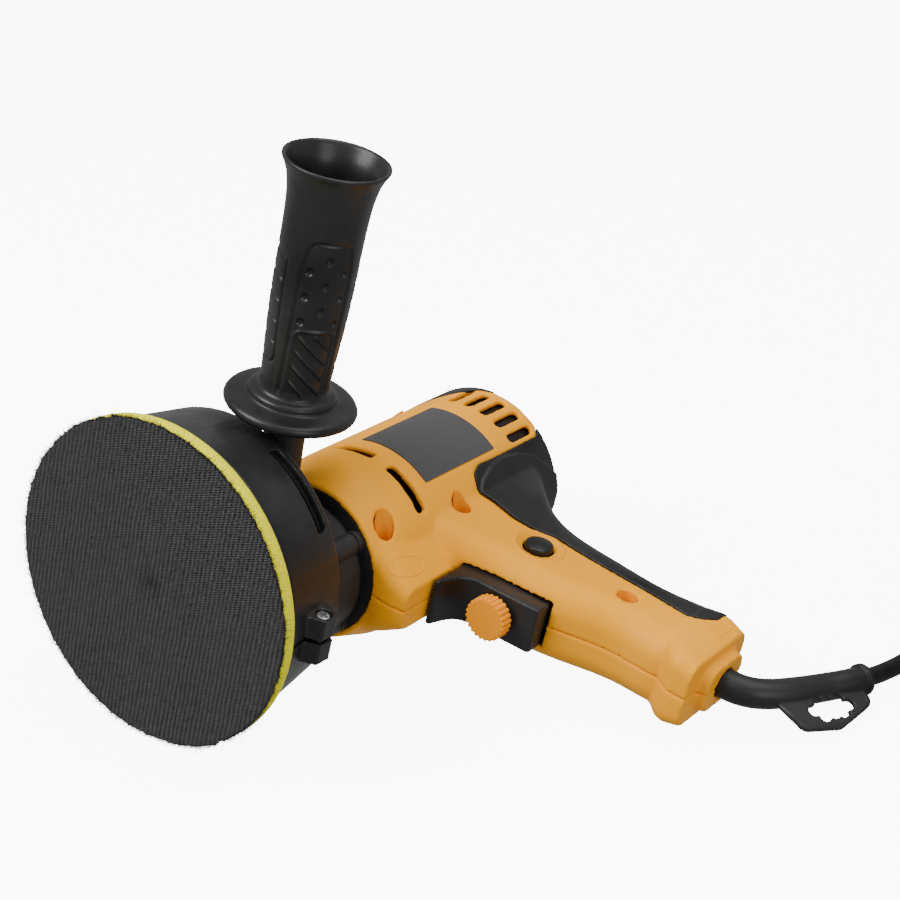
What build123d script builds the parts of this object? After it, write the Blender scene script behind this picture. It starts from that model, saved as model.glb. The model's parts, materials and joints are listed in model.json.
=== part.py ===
from build123d import *
import math
import os

# An electric car polisher, laid down on its right side. Lengths are in millimetres.
# Tool axes: X runs from the spindle towards the main handle's end, Y from the pad's face
# towards the motor's tail, and Z towards the side handle. The housing parts along Z = 0.
# At the end every piece is laid on the floor, where +Z is up and the floor is Z = 0.

# Pad and guard
PAD_RADIUS = 62.5
HOOK_THICKNESS = 1.1
FOAM_END = 7.8
FOAM_ROUND = 1.2
PLATE_END = 10.2
PLATE_RADIUS = 54.0
HUB_RADIUS = 13.0
HUB_END = 24.0
GUARD_START = 9.2
GUARD_END = 42.7
GUARD_START_RADIUS = 59.7
GUARD_END_RADIUS = 54.8
GUARD_WALL = 2.2
GUARD_PLATE_START = 37.6
GUARD_PLATE_RADIUS = 52.6
LUG_X = 59.9
LUG_Y = 24.5
LUG_Z = 1.3
LUG_LENGTH = 19.0
LUG_RECESS = 2.2

# Gears and bearings. A bearing is (bore radius, outer radius, width, start).
MODULE = 0.8
PINION_TEETH = 10
GEAR_TEETH = 52
MOTOR_X = MODULE * (PINION_TEETH + GEAR_TEETH) / 2
GEAR_START = 52.9
GEAR_END = 58.9
CASE_START = 43.5
CASE_SPLIT = 59.6
CASE_RADIUS = 26.4
FRONT_BEARING = (5.0, 13.0, 8.0, 44.0)
REAR_BEARING = (4.0, 11.0, 7.0, 60.4)
MOTOR_BEARING = (3.5, 9.5, 6.0, 61.4)
TAIL_BEARING = (3.0, 9.5, 6.0, 178.0)
FIT = 0.04

# Motor
FAN_START = 84.0
FAN_RADIUS = 27.0
STATOR_START = 101.0
STATOR_END = 137.0
STATOR_RADIUS = 25.4
BORE_RADIUS = 15.6
CORE_RADIUS = 15.0
COMMUTATOR_START = 150.0
COMMUTATOR_END = 163.0
COMMUTATOR_RADIUS = 10.0
BRUSH_Y = 156.5

# Housing
BARREL_START = 62.5
BARREL_RADIUS = 36.2
BARREL_FRONT_RADIUS = 31.1
SHOULDER_END = 78.3
TAIL_START = 177.5
TAIL_ROUND = 23.3
WALL = 2.5
SKIN = 1.1
SKIN_PROUD = 0.3
SEAM = 0.12
LABEL_THICKNESS = 0.6
GAUZE_RADIUS = 33.2
SCREW_RADIUS = 1.7

# Side handle
SIDE_X = 7.75
SIDE_Y = 54.75
BOSS_TOP = 58.7
LOWER_BOSS_END = -44.0
FLANGE_START = 59.5
FLANGE_RADIUS = 24.7
CUP_FLOOR = 82.0

# Main handle, trigger, button and cord exit
BLOCK_REST = 160.8
BLOCK_END = 168.0
BLOCK_FRONT = 103.4
BLOCK_BACK = 147.6
BLOCK_HALF = 15.8
BLOCK_CORNER = 6.6
EXIT_X = 172.0
EXIT_Y = 127.0
BOOT_START = 163.1
TRIGGER_HALF = 9.6
TRIGGER_BACK = 108.0
TRIGGER_TRAVEL = 5.5
TRIGGER_SPRING_X = 82.0
SWITCH_START = 116.0
DIAL_X = 90.8
DIAL_RADIUS = 8.6
DIAL_START = 84.9
DIAL_END = 90.2
BUTTON_X = 87.5
BUTTON_Y = 120.0
BUTTON_RADIUS = 5.6
BUTTON_TOP = 19.7

# Cord. Its points are in floor axes, from the point below the tool's own origin.
CORD_DIAMETER = 7.0
BOOT_RADIUS = 6.0
BOOT_END_RADIUS = 5.2
BOOT_STEPS = 12
BOOT_ROUTE = [(188.9, 135.0, 11.0), (196.9, 149.5, 8.2), (205.3, 164.1, 6.7)]
CORD_ROUTE = [(205.3, 164.1, 6.7), (209.2, 177.7, 3.9), (213.6, 196.7, 3.6), (213.7, 208.6, 3.6)]
TAB_OUTLINE = [(-8.5, 0), (-2.5, 17.6), (13.5, 19.6), (32.6, 11.3), (27.0, 0)]
COIL_RADIUS = 41.5
COIL_LAYERS = 4
PLUG_BACK = 198.6
PLUG_LEVEL = 9.2

SPINDLE = Axis((0, 0, 0), (0, 1, 0))
MOTOR = Axis((MOTOR_X, 0, 0), (0, 1, 0))


def facing_tail(x, y, z=0.0):
    """A plane across the tool's length. Its normal points to the tail."""
    return Plane(origin=(x, y, z), x_dir=(1, 0, 0), z_dir=(0, 1, 0))


def facing_pad(x, y, z=0.0):
    """A plane across the tool's length, at -Z. Its normal points away from the tail."""
    return Plane(origin=(x, y, -z), x_dir=(1, 0, 0), z_dir=(0, -1, 0))


def facing_side(x, y, z=0.0):
    """A plane parallel to the parting plane. Its normal points to the side handle."""
    return Plane(origin=(x, y, z), x_dir=(1, 0, 0), z_dir=(0, 0, 1))


def facing_handle(x, y, z=0.0):
    """A plane across the main handle. Its normal points to the handle's end."""
    return Plane(origin=(x, y, z), x_dir=(0, 1, 0), z_dir=(1, 0, 0))


def round_axis(axis_x, angle):
    """A plane through an axis along Y, turned from +Z towards +X, its X along the radius."""
    turn = math.radians(angle)
    return Plane(
        origin=(axis_x, 0, 0),
        x_dir=(math.sin(turn), 0, math.cos(turn)),
        z_dir=(-math.cos(turn), 0, math.sin(turn)),
    )


def out_of_axis(axis_x, angle, y, radius=0.0):
    """A plane that faces away from an axis along Y, at a station y, its Y along the tool."""
    turn = math.radians(angle)
    return Plane(
        origin=(axis_x + radius * math.sin(turn), y, radius * math.cos(turn)),
        x_dir=(math.cos(turn), 0, -math.sin(turn)),
        z_dir=(math.sin(turn), 0, math.cos(turn)),
    )


def turned(axis, *outline):
    """Turn a closed outline of (radius, station) points round an axis along Y."""
    with BuildPart() as piece:
        with BuildSketch(facing_side(axis.position.X, 0)):
            with BuildLine():
                Polyline(*outline, close=True)
            make_face()
        revolve(axis=axis)
    return piece


def ring_sector(axis, inner, outer, start, end, angle, sweep_angle):
    """A stretch of a ring round an axis along Y, between two stations."""
    with BuildPart() as piece:
        with BuildSketch(round_axis(axis.position.X, angle)):
            with BuildLine():
                Polyline((inner, start), (outer, start), (outer, end), (inner, end), close=True)
            make_face()
        revolve(axis=axis, revolution_arc=sweep_angle)
    return piece.part


def rod(plane, radius, length):
    """A plain round bar that starts on a plane."""
    with BuildPart() as piece:
        with BuildSketch(plane):
            Circle(radius)
        extrude(amount=length)
    return piece.part


def bearing(axis, sizes):
    """A sealed ball bearing: two races with a shallow groove for the shields between them."""
    bore, outer, width, start = sizes
    end = start + width
    inner_race = bore + 0.3 * (outer - bore)
    outer_race = bore + 0.72 * (outer - bore)
    groove = 0.5
    return turned(
        axis,
        (bore + FIT, start), (inner_race, start), (inner_race, start + groove),
        (outer_race, start + groove), (outer_race, start), (outer, start),
        (outer, end), (outer_race, end), (outer_race, end - groove),
        (inner_race, end - groove), (inner_race, end), (bore + FIT, end),
    )


def spring(plane, radius, wire, height, turns):
    """An open coil spring that stands on a plane."""
    with BuildPart() as piece:
        with BuildLine():
            path = Helix(height / turns, height, radius, center=plane.origin, direction=plane.z_dir)
        with BuildSketch(Plane(origin=path @ 0, z_dir=path % 0)):
            Circle(wire)
        sweep(path=path, is_frenet=True)
    return piece


def pan_head_screw(plane, shank, length, head, head_height):
    """A screw whose head stands on a plane and whose shank goes below it, with a cross recess."""
    slot = 0.28 * head
    with BuildPart() as piece:
        with BuildSketch(plane):
            Circle(head)
        extrude(amount=head_height)
        fillet(piece.faces().sort_by(Axis(plane.origin, plane.z_dir))[-1].edges(), 0.45 * head_height)
        with BuildSketch(plane):
            Circle(shank)
        extrude(amount=-length)
        with BuildSketch(plane.offset(head_height)):
            Rectangle(1.3 * head, slot)
            Rectangle(slot, 1.3 * head)
        extrude(amount=-0.5 * head_height, mode=Mode.SUBTRACT)
    return piece.part


# ------------------------------------------------------------------ pad, which spins

with BuildPart() as hook_face:
    with BuildSketch(facing_tail(0, 0)):
        Circle(PAD_RADIUS - 0.2)
    extrude(amount=HOOK_THICKNESS)

with BuildPart() as pad_foam:
    with BuildSketch(facing_tail(0, HOOK_THICKNESS)):
        Circle(PAD_RADIUS - 0.3)
    extrude(amount=FOAM_END - HOOK_THICKNESS)
    fillet(pad_foam.faces().sort_by(Axis.Y)[-1].edges(), FOAM_ROUND)

backing_plate = turned(
    SPINDLE,
    (0, FOAM_END), (PLATE_RADIUS, FOAM_END), (PLATE_RADIUS, PLATE_END - 0.8),
    (PLATE_RADIUS - 2, PLATE_END), (HUB_RADIUS + 4, PLATE_END + 0.6), (HUB_RADIUS, PLATE_END + 4),
    (HUB_RADIUS - 0.8, HUB_END), (6.2, HUB_END), (6.2, 11.0), (0, 11.0),
)
with BuildPart() as pad_insert:
    with BuildSketch(facing_tail(0, 11.0)):
        Circle(6.2)
        Circle(5.0 + FIT, mode=Mode.SUBTRACT)
    extrude(amount=HUB_END - 11.0)

with BuildPart() as spindle:
    add(turned(
        SPINDLE,
        (0, 12.5), (4.3, 12.5), (5.0, 13.2), (5.0, HUB_END + 0.2), (9.5, HUB_END + 0.2),
        (9.5, 30.0), (7.0, 31.5), (7.0, FRONT_BEARING[3] - 0.1), (5.0, FRONT_BEARING[3] - 0.1),
        (5.0, GEAR_END + 0.6), (REAR_BEARING[0], GEAR_END + 0.6), (REAR_BEARING[0], 67.0),
        (REAR_BEARING[0] - 0.6, 67.6), (0, 67.6),
    ).part)
    with BuildSketch(facing_tail(0, 25.0)):
        with Locations((0, 9.5), (0, -9.5)):
            Rectangle(22, 4.0)
    extrude(amount=4.6, mode=Mode.SUBTRACT)


def toothed_wheel(axis_x, start, end, teeth, first_angle, thinning):
    """A spur wheel whose straight-sided teeth are thinned for backlash."""
    pitch = MODULE * teeth / 2
    tip = pitch + MODULE * 0.95
    root = pitch - MODULE * 1.3
    half_pitch = math.pi * MODULE / 4 - thinning
    with BuildPart() as wheel:
        with BuildSketch(facing_tail(axis_x, start)):
            Circle(root)
            with PolarLocations(0, teeth, start_angle=first_angle):
                with BuildLine():
                    Polyline(
                        (root - 0.4, -half_pitch - 0.32), (root + 0.1, -half_pitch - 0.32),
                        (tip, -half_pitch + 0.33), (tip, half_pitch - 0.33),
                        (root + 0.1, half_pitch + 0.32), (root - 0.4, half_pitch + 0.32),
                        close=True,
                    )
                make_face()
        extrude(amount=end - start)
    return wheel.part


with BuildPart() as drive_gear:
    add(toothed_wheel(0, GEAR_START, GEAR_END, GEAR_TEETH, 180 / GEAR_TEETH, 0.1))
    with BuildSketch(facing_tail(0, GEAR_START)):
        Circle(5.0 + FIT)
        with PolarLocations(13.2, 6):
            Circle(3.4)
    extrude(amount=GEAR_END - GEAR_START, mode=Mode.SUBTRACT)

gear_ring = turned(
    SPINDLE,
    (5.0 + FIT, FRONT_BEARING[3] + 8.05), (7.2, FRONT_BEARING[3] + 8.05),
    (7.2, GEAR_START - 0.1), (5.0 + FIT, GEAR_START - 0.1),
)

# ------------------------------------------------------------------ armature, which spins

with BuildPart() as armature_shaft:
    add(toothed_wheel(MOTOR_X, GEAR_START - 0.3, GEAR_END + 0.5, PINION_TEETH, 0, 0.1))
    add(turned(
        MOTOR,
        (0, GEAR_END + 0.4), (2.9, GEAR_END + 0.4), (3.5, 60.4), (3.5, 68.0), (4.5, 68.0),
        (4.5, 176.5), (3.0, 176.5), (3.0, 184.6), (2.5, 185.1), (0, 185.1),
    ).part)

with BuildPart() as armature_core:
    with BuildSketch(facing_tail(MOTOR_X, STATOR_START)):
        Circle(CORE_RADIUS)
        Circle(4.5 + FIT, mode=Mode.SUBTRACT)
        with PolarLocations(12.2, 12):
            SlotCenterToCenter(2.4, 1.9, mode=Mode.SUBTRACT)
        with PolarLocations(CORE_RADIUS - 0.8, 12):
            Rectangle(2.4, 0.9, mode=Mode.SUBTRACT)
    extrude(amount=STATOR_END - STATOR_START)

with BuildPart() as armature_windings:
    for start, end in [(STATOR_START - 6.5, STATOR_START - 0.1), (STATOR_END + 0.1, STATOR_END + 6.5)]:
        add(turned(
            MOTOR,
            (5.2, start + 1.6), (7.0, start), (11.0, start), (13.4, start + 2.2), (13.4, end - 1.4),
            (12.0, end), (5.2, end),
        ).part)

with BuildPart() as commutator:
    with BuildSketch(facing_tail(MOTOR_X, COMMUTATOR_START)):
        Circle(COMMUTATOR_RADIUS)
        Circle(4.5 + FIT, mode=Mode.SUBTRACT)
        with PolarLocations(COMMUTATOR_RADIUS, 24):
            Rectangle(1.0, 0.5, mode=Mode.SUBTRACT)
    extrude(amount=COMMUTATOR_END - COMMUTATOR_START)
    add(turned(
        MOTOR,
        (5.0, COMMUTATOR_START - 2.5), (11.6, COMMUTATOR_START - 2.5), (11.6, COMMUTATOR_START),
        (5.0, COMMUTATOR_START),
    ).part)

with BuildPart() as cooling_fan:
    add(turned(
        MOTOR,
        (4.5 + FIT, FAN_START - 3), (7.5, FAN_START - 3), (8.5, FAN_START), (FAN_RADIUS, FAN_START),
        (FAN_RADIUS, FAN_START + 1.4), (8.5, FAN_START + 1.4), (7.5, FAN_START + 8.5),
        (4.5 + FIT, FAN_START + 8.5),
    ).part)
    with BuildSketch(facing_tail(MOTOR_X, FAN_START + 1.4)):
        with PolarLocations(16.8, 13):
            Rectangle(19.6, 1.4, rotation=24)
    extrude(amount=6.6)

# ------------------------------------------------------------------ motor, standing still

motor_bearing = bearing(MOTOR, MOTOR_BEARING)
tail_bearing = bearing(MOTOR, TAIL_BEARING)
tail_bush = turned(
    MOTOR,
    (TAIL_BEARING[1] + FIT, TAIL_BEARING[3]), (12.0, TAIL_BEARING[3]), (12.0, TAIL_BEARING[3] + 7.5),
    (3.8, TAIL_BEARING[3] + 7.5), (3.8, TAIL_BEARING[3] + 6.1),
    (TAIL_BEARING[1] + FIT, TAIL_BEARING[3] + 6.1),
)

vent_gauze = turned(
    MOTOR,
    (GAUZE_RADIUS - 0.6, 157.0), (GAUZE_RADIUS, 157.0), (GAUZE_RADIUS, 175.0), (GAUZE_RADIUS - 0.6, 175.0),
)

WINDOW = 26.0
with BuildPart() as stator_core:
    with BuildSketch(facing_tail(MOTOR_X, STATOR_START)):
        Circle(STATOR_RADIUS)
        Circle(BORE_RADIUS, mode=Mode.SUBTRACT)
    extrude(amount=STATOR_END - STATOR_START)
    for side in (90, 270):
        add(
            ring_sector(MOTOR, BORE_RADIUS + 0.8, 21.6, STATOR_START, STATOR_END, side - WINDOW, 2 * WINDOW),
            mode=Mode.SUBTRACT,
        )

with BuildPart() as field_coils:
    for pole in (0, 180):
        reach = 90 - 2.0
        for start, end in [(STATOR_START - 6.0, STATOR_START - 0.1), (STATOR_END + 0.1, STATOR_END + 6.0)]:
            add(ring_sector(MOTOR, 17.0, 21.2, start, end, pole - reach, 2 * reach))
        for first in (pole - reach, pole + reach - 20):
            add(ring_sector(MOTOR, 17.0, 21.2, STATOR_START - 0.2, STATOR_END + 0.2, first, 20))

brush_sides = (0, 180)
with BuildPart() as brush_holders:
    for side in brush_sides:
        with BuildSketch(out_of_axis(MOTOR_X, side, BRUSH_Y, 11.2)):
            Rectangle(8.0, 10.0)
            Rectangle(6.0, 8.0, mode=Mode.SUBTRACT)
        extrude(amount=18.0)

with BuildPart() as brush_caps:
    for side in brush_sides:
        with BuildSketch(out_of_axis(MOTOR_X, side, BRUSH_Y, 29.3)):
            RectangleRounded(9.0, 11.0, 1.2)
        extrude(amount=1.6)

with BuildPart() as carbon_brushes:
    for side in brush_sides:
        with BuildSketch(out_of_axis(MOTOR_X, side, BRUSH_Y, COMMUTATOR_RADIUS + 0.35)):
            Rectangle(5.9, 7.9)
        extrude(amount=11.0)

with BuildPart() as brush_springs:
    for side in brush_sides:
        add(spring(out_of_axis(MOTOR_X, side, BRUSH_Y, 22.0), 2.1, 0.3, 6.6, 5).part)

# ------------------------------------------------------------------ gear case

PLATE_SCREW_CIRCLE = 16.6
CASE_SCREWS = [(-18.2, 18.2), (-18.2, -18.2), (42.2, 17.4), (42.2, -17.4)]


def case_outline(plane, radius, length):
    """The gear case's outline: round both axes, with a lug for each screw."""
    with BuildPart() as block:
        with BuildSketch(plane):
            with Locations((0, 0), (MOTOR_X, 0)):
                Circle(radius)
            with Locations((MOTOR_X / 2, 0)):
                Rectangle(MOTOR_X, 2 * radius)
            with Locations(*CASE_SCREWS):
                Circle(4.6)
        extrude(amount=length)
    return block.part


with BuildPart() as gear_case:
    add(case_outline(facing_tail(0, CASE_START), CASE_RADIUS, CASE_SPLIT - CASE_START))
    front_edges = gear_case.faces().sort_by(Axis.Y)[0].edges()
    fillet(front_edges, 2.0)
    for boss_end in (BOSS_TOP, LOWER_BOSS_END):
        with BuildSketch(facing_side(SIDE_X, SIDE_Y, math.copysign(24.5, boss_end))):
            Circle(8.6)
        with BuildSketch(facing_side(SIDE_X, SIDE_Y, boss_end)):
            Circle(7.4)
        loft()
    with BuildSketch(facing_tail(0, BARREL_START - 0.7)):
        Rectangle(80, 2 * BOSS_TOP)
    extrude(amount=5, mode=Mode.SUBTRACT)
    with BuildSketch(facing_tail(0, CASE_START)):
        Circle(8.0)
    extrude(amount=5, mode=Mode.SUBTRACT)
    with BuildSketch(facing_tail(0, CASE_START)):
        with PolarLocations(PLATE_SCREW_CIRCLE, 3, start_angle=90):
            Circle(2.05)
    extrude(amount=7, mode=Mode.SUBTRACT)
    with BuildSketch(facing_tail(0, FRONT_BEARING[3])):
        Circle(FRONT_BEARING[1] + 0.02)
    extrude(amount=FRONT_BEARING[2] + 0.2, mode=Mode.SUBTRACT)
    with BuildSketch(facing_tail(0, FRONT_BEARING[3] + FRONT_BEARING[2] + 0.2)):
        Circle(MODULE * GEAR_TEETH / 2 + 1.7)
        with Locations((MOTOR_X, 0)):
            Circle(7.0)
    extrude(amount=CASE_SPLIT, mode=Mode.SUBTRACT)
    with BuildSketch(facing_side(SIDE_X, SIDE_Y, BOSS_TOP)):
        Circle(4.03)
    extrude(amount=-20, mode=Mode.SUBTRACT)
    with BuildSketch(facing_side(SIDE_X, SIDE_Y, LOWER_BOSS_END)):
        Circle(3.4)
    extrude(amount=16, mode=Mode.SUBTRACT)
    for x, z in CASE_SCREWS:
        with BuildSketch(facing_tail(x, CASE_START, -z)):
            Circle(3.6)
        extrude(amount=1.2, mode=Mode.SUBTRACT)
        with BuildSketch(facing_tail(x, CASE_START, -z)):
            Circle(1.95)
        extrude(amount=CASE_SPLIT - CASE_START, mode=Mode.SUBTRACT)

with BuildPart() as bearing_plate:
    add(case_outline(facing_tail(0, CASE_SPLIT + 0.05), 24.0, BARREL_START - 0.1 - CASE_SPLIT))
    with BuildSketch(facing_tail(MOTOR_X, BARREL_START - 0.1)):
        Circle(29.0)
    extrude(amount=3.4)
    with BuildSketch(facing_tail(0, BARREL_START)):
        with Locations((0, 0)):
            Circle(13.4)
        with Locations((MOTOR_X, 0)):
            Circle(12.4)
    extrude(amount=6.2)
    for axis_x, sizes in [(0, REAR_BEARING), (MOTOR_X, MOTOR_BEARING)]:
        with BuildSketch(facing_tail(axis_x, sizes[3] - 0.1)):
            Circle(sizes[1] + 0.02)
        extrude(amount=sizes[2] + 0.2, mode=Mode.SUBTRACT)
        with BuildSketch(facing_tail(axis_x, CASE_SPLIT - 1)):
            Circle(sizes[0] + 2.6)
        extrude(amount=12, mode=Mode.SUBTRACT)

front_bearing = bearing(SPINDLE, FRONT_BEARING)
rear_bearing = bearing(SPINDLE, REAR_BEARING)

with BuildPart() as case_screws:
    for x, z in CASE_SCREWS:
        add(pan_head_screw(facing_pad(x, CASE_START + 1.15, z), 1.9, 13.5, 3.4, 2.2))

# ------------------------------------------------------------------ guard

with BuildPart() as guard_plate:
    with BuildSketch(facing_tail(0, GUARD_PLATE_START)):
        Circle(GUARD_PLATE_RADIUS)
    extrude(amount=2.8)
    with BuildSketch(facing_tail(0, GUARD_PLATE_START + 2.8)):
        Circle(22.0)
    extrude(amount=CASE_START - GUARD_PLATE_START - 2.85)
    with BuildSketch(facing_tail(0, GUARD_PLATE_START)):
        Circle(8.2)
        with PolarLocations(PLATE_SCREW_CIRCLE, 3, start_angle=90):
            Circle(2.05)
    extrude(amount=10, mode=Mode.SUBTRACT)

with BuildPart() as guard_plate_screws:
    for angle in (90, 210, 330):
        turn = math.radians(angle)
        x, z = PLATE_SCREW_CIRCLE * math.cos(turn), PLATE_SCREW_CIRCLE * math.sin(turn)
        seat = facing_pad(x, GUARD_PLATE_START - 0.05, z)
        add(pan_head_screw(seat, 2.0, CASE_START - GUARD_PLATE_START + 6, 3.8, 2.4))

wall_slope = (GUARD_START_RADIUS - GUARD_END_RADIUS) / (GUARD_END - GUARD_START)
with BuildPart() as guard_band:
    add(turned(
        SPINDLE,
        (GUARD_START_RADIUS - 0.6, GUARD_START), (GUARD_START_RADIUS, GUARD_START + 0.8),
        (GUARD_END_RADIUS, GUARD_END - 1.2), (GUARD_END_RADIUS - 1.2, GUARD_END),
        (49.0, GUARD_END), (49.0, GUARD_PLATE_START + 3.0),
        (GUARD_PLATE_RADIUS + 0.15, GUARD_PLATE_START + 3.0),
        (GUARD_PLATE_RADIUS + 0.15, GUARD_PLATE_START - 1.5),
        (GUARD_START_RADIUS - GUARD_WALL, GUARD_START),
    ).part)
    for middle in (36, 216):
        add(ring_sector(SPINDLE, 50, 60, 33.6, 39.0, middle - 18, 36), mode=Mode.SUBTRACT)
    with BuildSketch(facing_side(0, 0, LUG_Z - LUG_LENGTH / 2)):
        with BuildLine():
            Polyline(
                (55, LUG_Y - 7.5), (57, LUG_Y - 7), (LUG_X + 3.8, LUG_Y - 3.6), (LUG_X + 3.8, LUG_Y + 3.6),
                (57, LUG_Y + 6.5), (55, LUG_Y + 6.5), close=True,
            )
        make_face()
    extrude(amount=LUG_LENGTH)
    with BuildSketch(facing_side(LUG_X, LUG_Y, LUG_Z - LUG_LENGTH)):
        Circle(1.7)
    extrude(amount=2 * LUG_LENGTH, mode=Mode.SUBTRACT)
    for side in (1, -1):
        with BuildSketch(facing_side(LUG_X, LUG_Y, LUG_Z + side * (LUG_LENGTH / 2 - LUG_RECESS))):
            Circle(3.0)
        extrude(amount=side * 2 * LUG_RECESS, mode=Mode.SUBTRACT)
    with BuildSketch(facing_side(0, GUARD_START, LUG_Z - 0.8)):
        with Locations((LUG_X - 3, 20)):
            Rectangle(22, 60)
    extrude(amount=1.6, mode=Mode.SUBTRACT)

with BuildPart() as guard_clamp_screw:
    lug_top = facing_side(LUG_X, LUG_Y, LUG_Z + LUG_LENGTH / 2 - LUG_RECESS + 0.05)
    add(pan_head_screw(lug_top, 1.6, LUG_LENGTH - 2 * LUG_RECESS + 2.1, 2.7, 1.6))
with BuildPart() as guard_clamp_nut:
    with BuildSketch(facing_side(LUG_X, LUG_Y, LUG_Z - LUG_LENGTH / 2 + LUG_RECESS - 0.05)):
        RegularPolygon(2.8, 6)
        Circle(1.62, mode=Mode.SUBTRACT)
    extrude(amount=-1.8)

# ------------------------------------------------------------------ side handle

GRIP_OUTLINE = [(12.7, 71.0), (13.4, 84.0), (14.2, 98.0), (14.6, 112.0), (14.8, 132.0), (15.4, 143.5)]
rim_start = (FLANGE_RADIUS - 2.4, FLANGE_START + 0.9)
rim_end = (FLANGE_RADIUS - 2.4, FLANGE_START + 5.1)
with BuildPart() as side_handle:
    with BuildSketch(Plane(origin=(SIDE_X, SIDE_Y, 0), x_dir=(1, 0, 0), z_dir=(0, -1, 0))):
        with BuildLine():
            Polyline((4.05, FLANGE_START), (11, FLANGE_START), (11.6, FLANGE_START + 0.9), rim_start)
            ThreePointArc(rim_start, (FLANGE_RADIUS, FLANGE_START + 3.0), rim_end)
            Polyline(rim_end, (15.4, FLANGE_START + 5.9), (13.6, FLANGE_START + 8.6), GRIP_OUTLINE[0])
            Spline(*GRIP_OUTLINE, tangents=[(0.3, 6), (1.2, 6)])
            Spline(GRIP_OUTLINE[-1], (16.6, 151.0), (19.3, 156.6), tangents=[(1.2, 6), (5, 6)])
            Line((19.3, 156.6), (18.5, 157.4))
            Line((18.5, 157.4), (17.2, 156.0))
            Spline((17.2, 156.0), (14.6, 150.6), (13.0, 142.0), (12.3, 128.0), tangents=[(-3, -5), (0, -6)])
            Polyline((12.3, 128.0), (11.2, CUP_FLOOR + 1.5), (9.7, CUP_FLOOR), (4.05, CUP_FLOOR))
            Line((4.05, CUP_FLOOR), (4.05, FLANGE_START))
        make_face()
    revolve(axis=Axis((SIDE_X, SIDE_Y, 0), (0, 0, 1)))

with BuildPart() as side_handle_stud:
    with BuildSketch(facing_side(SIDE_X, SIDE_Y, BOSS_TOP - 18)):
        Circle(4.0)
    extrude(amount=CUP_FLOOR + 4.0 - BOSS_TOP + 18)
    chamfer(side_handle_stud.faces().sort_by(Axis.Z)[0].edges(), 0.8)
    with BuildSketch(facing_side(SIDE_X, SIDE_Y, CUP_FLOOR + 0.05)):
        RegularPolygon(7.4, 6)
    extrude(amount=5.4)

# ------------------------------------------------------------------ housing form

# Each section: X, front edge, back edge, half thickness, corner radius
HANDLE_SECTIONS = [
    (37.5, 86.7, 170.0, 24.2, 11.7), (55.0, 90.0, 169.0, 21.7, 10.8), (68.3, 95.0, 156.7, 19.6, 10.8),
    (81.7, 98.3, 148.3, 18.2, 10.8), (96.7, 99.6, 145.8, 17.2, 10.8), (113.3, 102.5, 145.4, 16.7, 10.8),
    (133.3, 107.5, 145.4, 16.3, 10.8), (157.5, 112.1, 146.2, 16.3, 10.8),
]
LOBE_SECTIONS = [
    (33.3, 64.2, 106.7, 27.5, 8.3), (50.0, 62.9, 105.0, 21.3, 8.3), (60.8, 62.1, 101.7, 14.6, 7.5),
    (69.2, 63.3, 93.3, 8.8, 5.0),
]
BLOCK_SECTIONS = [
    (150.0, 111.7, 146.2, 16.1, 7.5), (157.0, 105.0, 148.0, 16.2, 7.0),
    (BLOCK_REST, BLOCK_FRONT, BLOCK_BACK, BLOCK_HALF, BLOCK_CORNER), (BLOCK_END, 103.8, 146.0, 13.7, 6.0),
]
COLLAR_SECTIONS = [(164.0, 112.0, 141.0, 10.4, 6.5), (EXIT_X, 113.0, 139.4, 9.4, 6.5)]


def lofted(sections, inset, straight=False):
    """Loft rounded rectangles along X, each one and the last end moved in by inset."""
    with BuildPart() as body:
        for x, front, back, half, corner in sections:
            station = x - inset if x == sections[-1][0] else x
            with BuildSketch(facing_handle(station, (front + back) / 2)):
                RectangleRounded(back - front - 2 * inset, 2 * (half - inset), corner - inset)
        loft(ruled=straight)
    return body.part


def barrel(inset):
    """The motor's round barrel with its shoulder and rounded tail."""
    side = BARREL_RADIUS - inset
    round_radius = TAIL_ROUND - inset
    crown = TAIL_START + round_radius
    with BuildPart() as body:
        with BuildSketch(facing_side(MOTOR_X, 0)):
            with BuildLine():
                Polyline(
                    (0, crown + 1.7), (0, BARREL_START + inset),
                    (BARREL_FRONT_RADIUS - inset, BARREL_START + inset),
                    (side - 0.4, SHOULDER_END), (side, SHOULDER_END + 7), (side, TAIL_START),
                )
                RadiusArc((side, TAIL_START), (side - round_radius, crown), round_radius)
                ThreePointArc((side - round_radius, crown), (6.6, crown + 1.4), (0, crown + 1.7))
            make_face()
        revolve(axis=MOTOR)
    return body.part


def housing_form(inset):
    """The whole housing as one solid, its outside moved in by inset."""
    with BuildPart() as body:
        add(barrel(inset))
        add(lofted(HANDLE_SECTIONS, inset))
        add(lofted(LOBE_SECTIONS, inset))
        add(lofted(BLOCK_SECTIONS, inset, straight=True))
        add(lofted(COLLAR_SECTIONS, inset, straight=True))
    return body.part


OUTSIDE = housing_form(0)
CAVITY = housing_form(WALL)

# Edge between the hard housing and the soft overmould, seen along Z
SOFT_EDGE = [
    (-6.7, 132.0), (-4.0, 154.0), (6.7, 167.0), (14.5, 175.5), (25.8, 178.6), (41.7, 180.0), (46.7, 174.0),
    (46.7, 158.0), (46.3, 133.0), (48.0, 128.0), (52.5, 126.0), (60.0, 127.2), (70.0, 126.2), (80.0, 127.6),
    (89.2, 131.0), (100.0, 130.8), (150.0, 130.8), (154.0, 133.0), (158.0, 137.5),
]


def soft_region(grown):
    """Everything on the tail's side of the overmould's edge, that edge moved out by grown."""
    with BuildPart() as region:
        with BuildSketch(facing_side(0, 0, -60)):
            with BuildLine():
                Polyline(*SOFT_EDGE, (158.0, 230.0), (-60.0, 230.0), (-60.0, 132.0), close=True)
            make_face()
            offset(amount=-2.6 + grown, kind=Kind.ARC)
            offset(amount=2.6, kind=Kind.ARC)
        extrude(amount=120)
    return region.part


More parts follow.
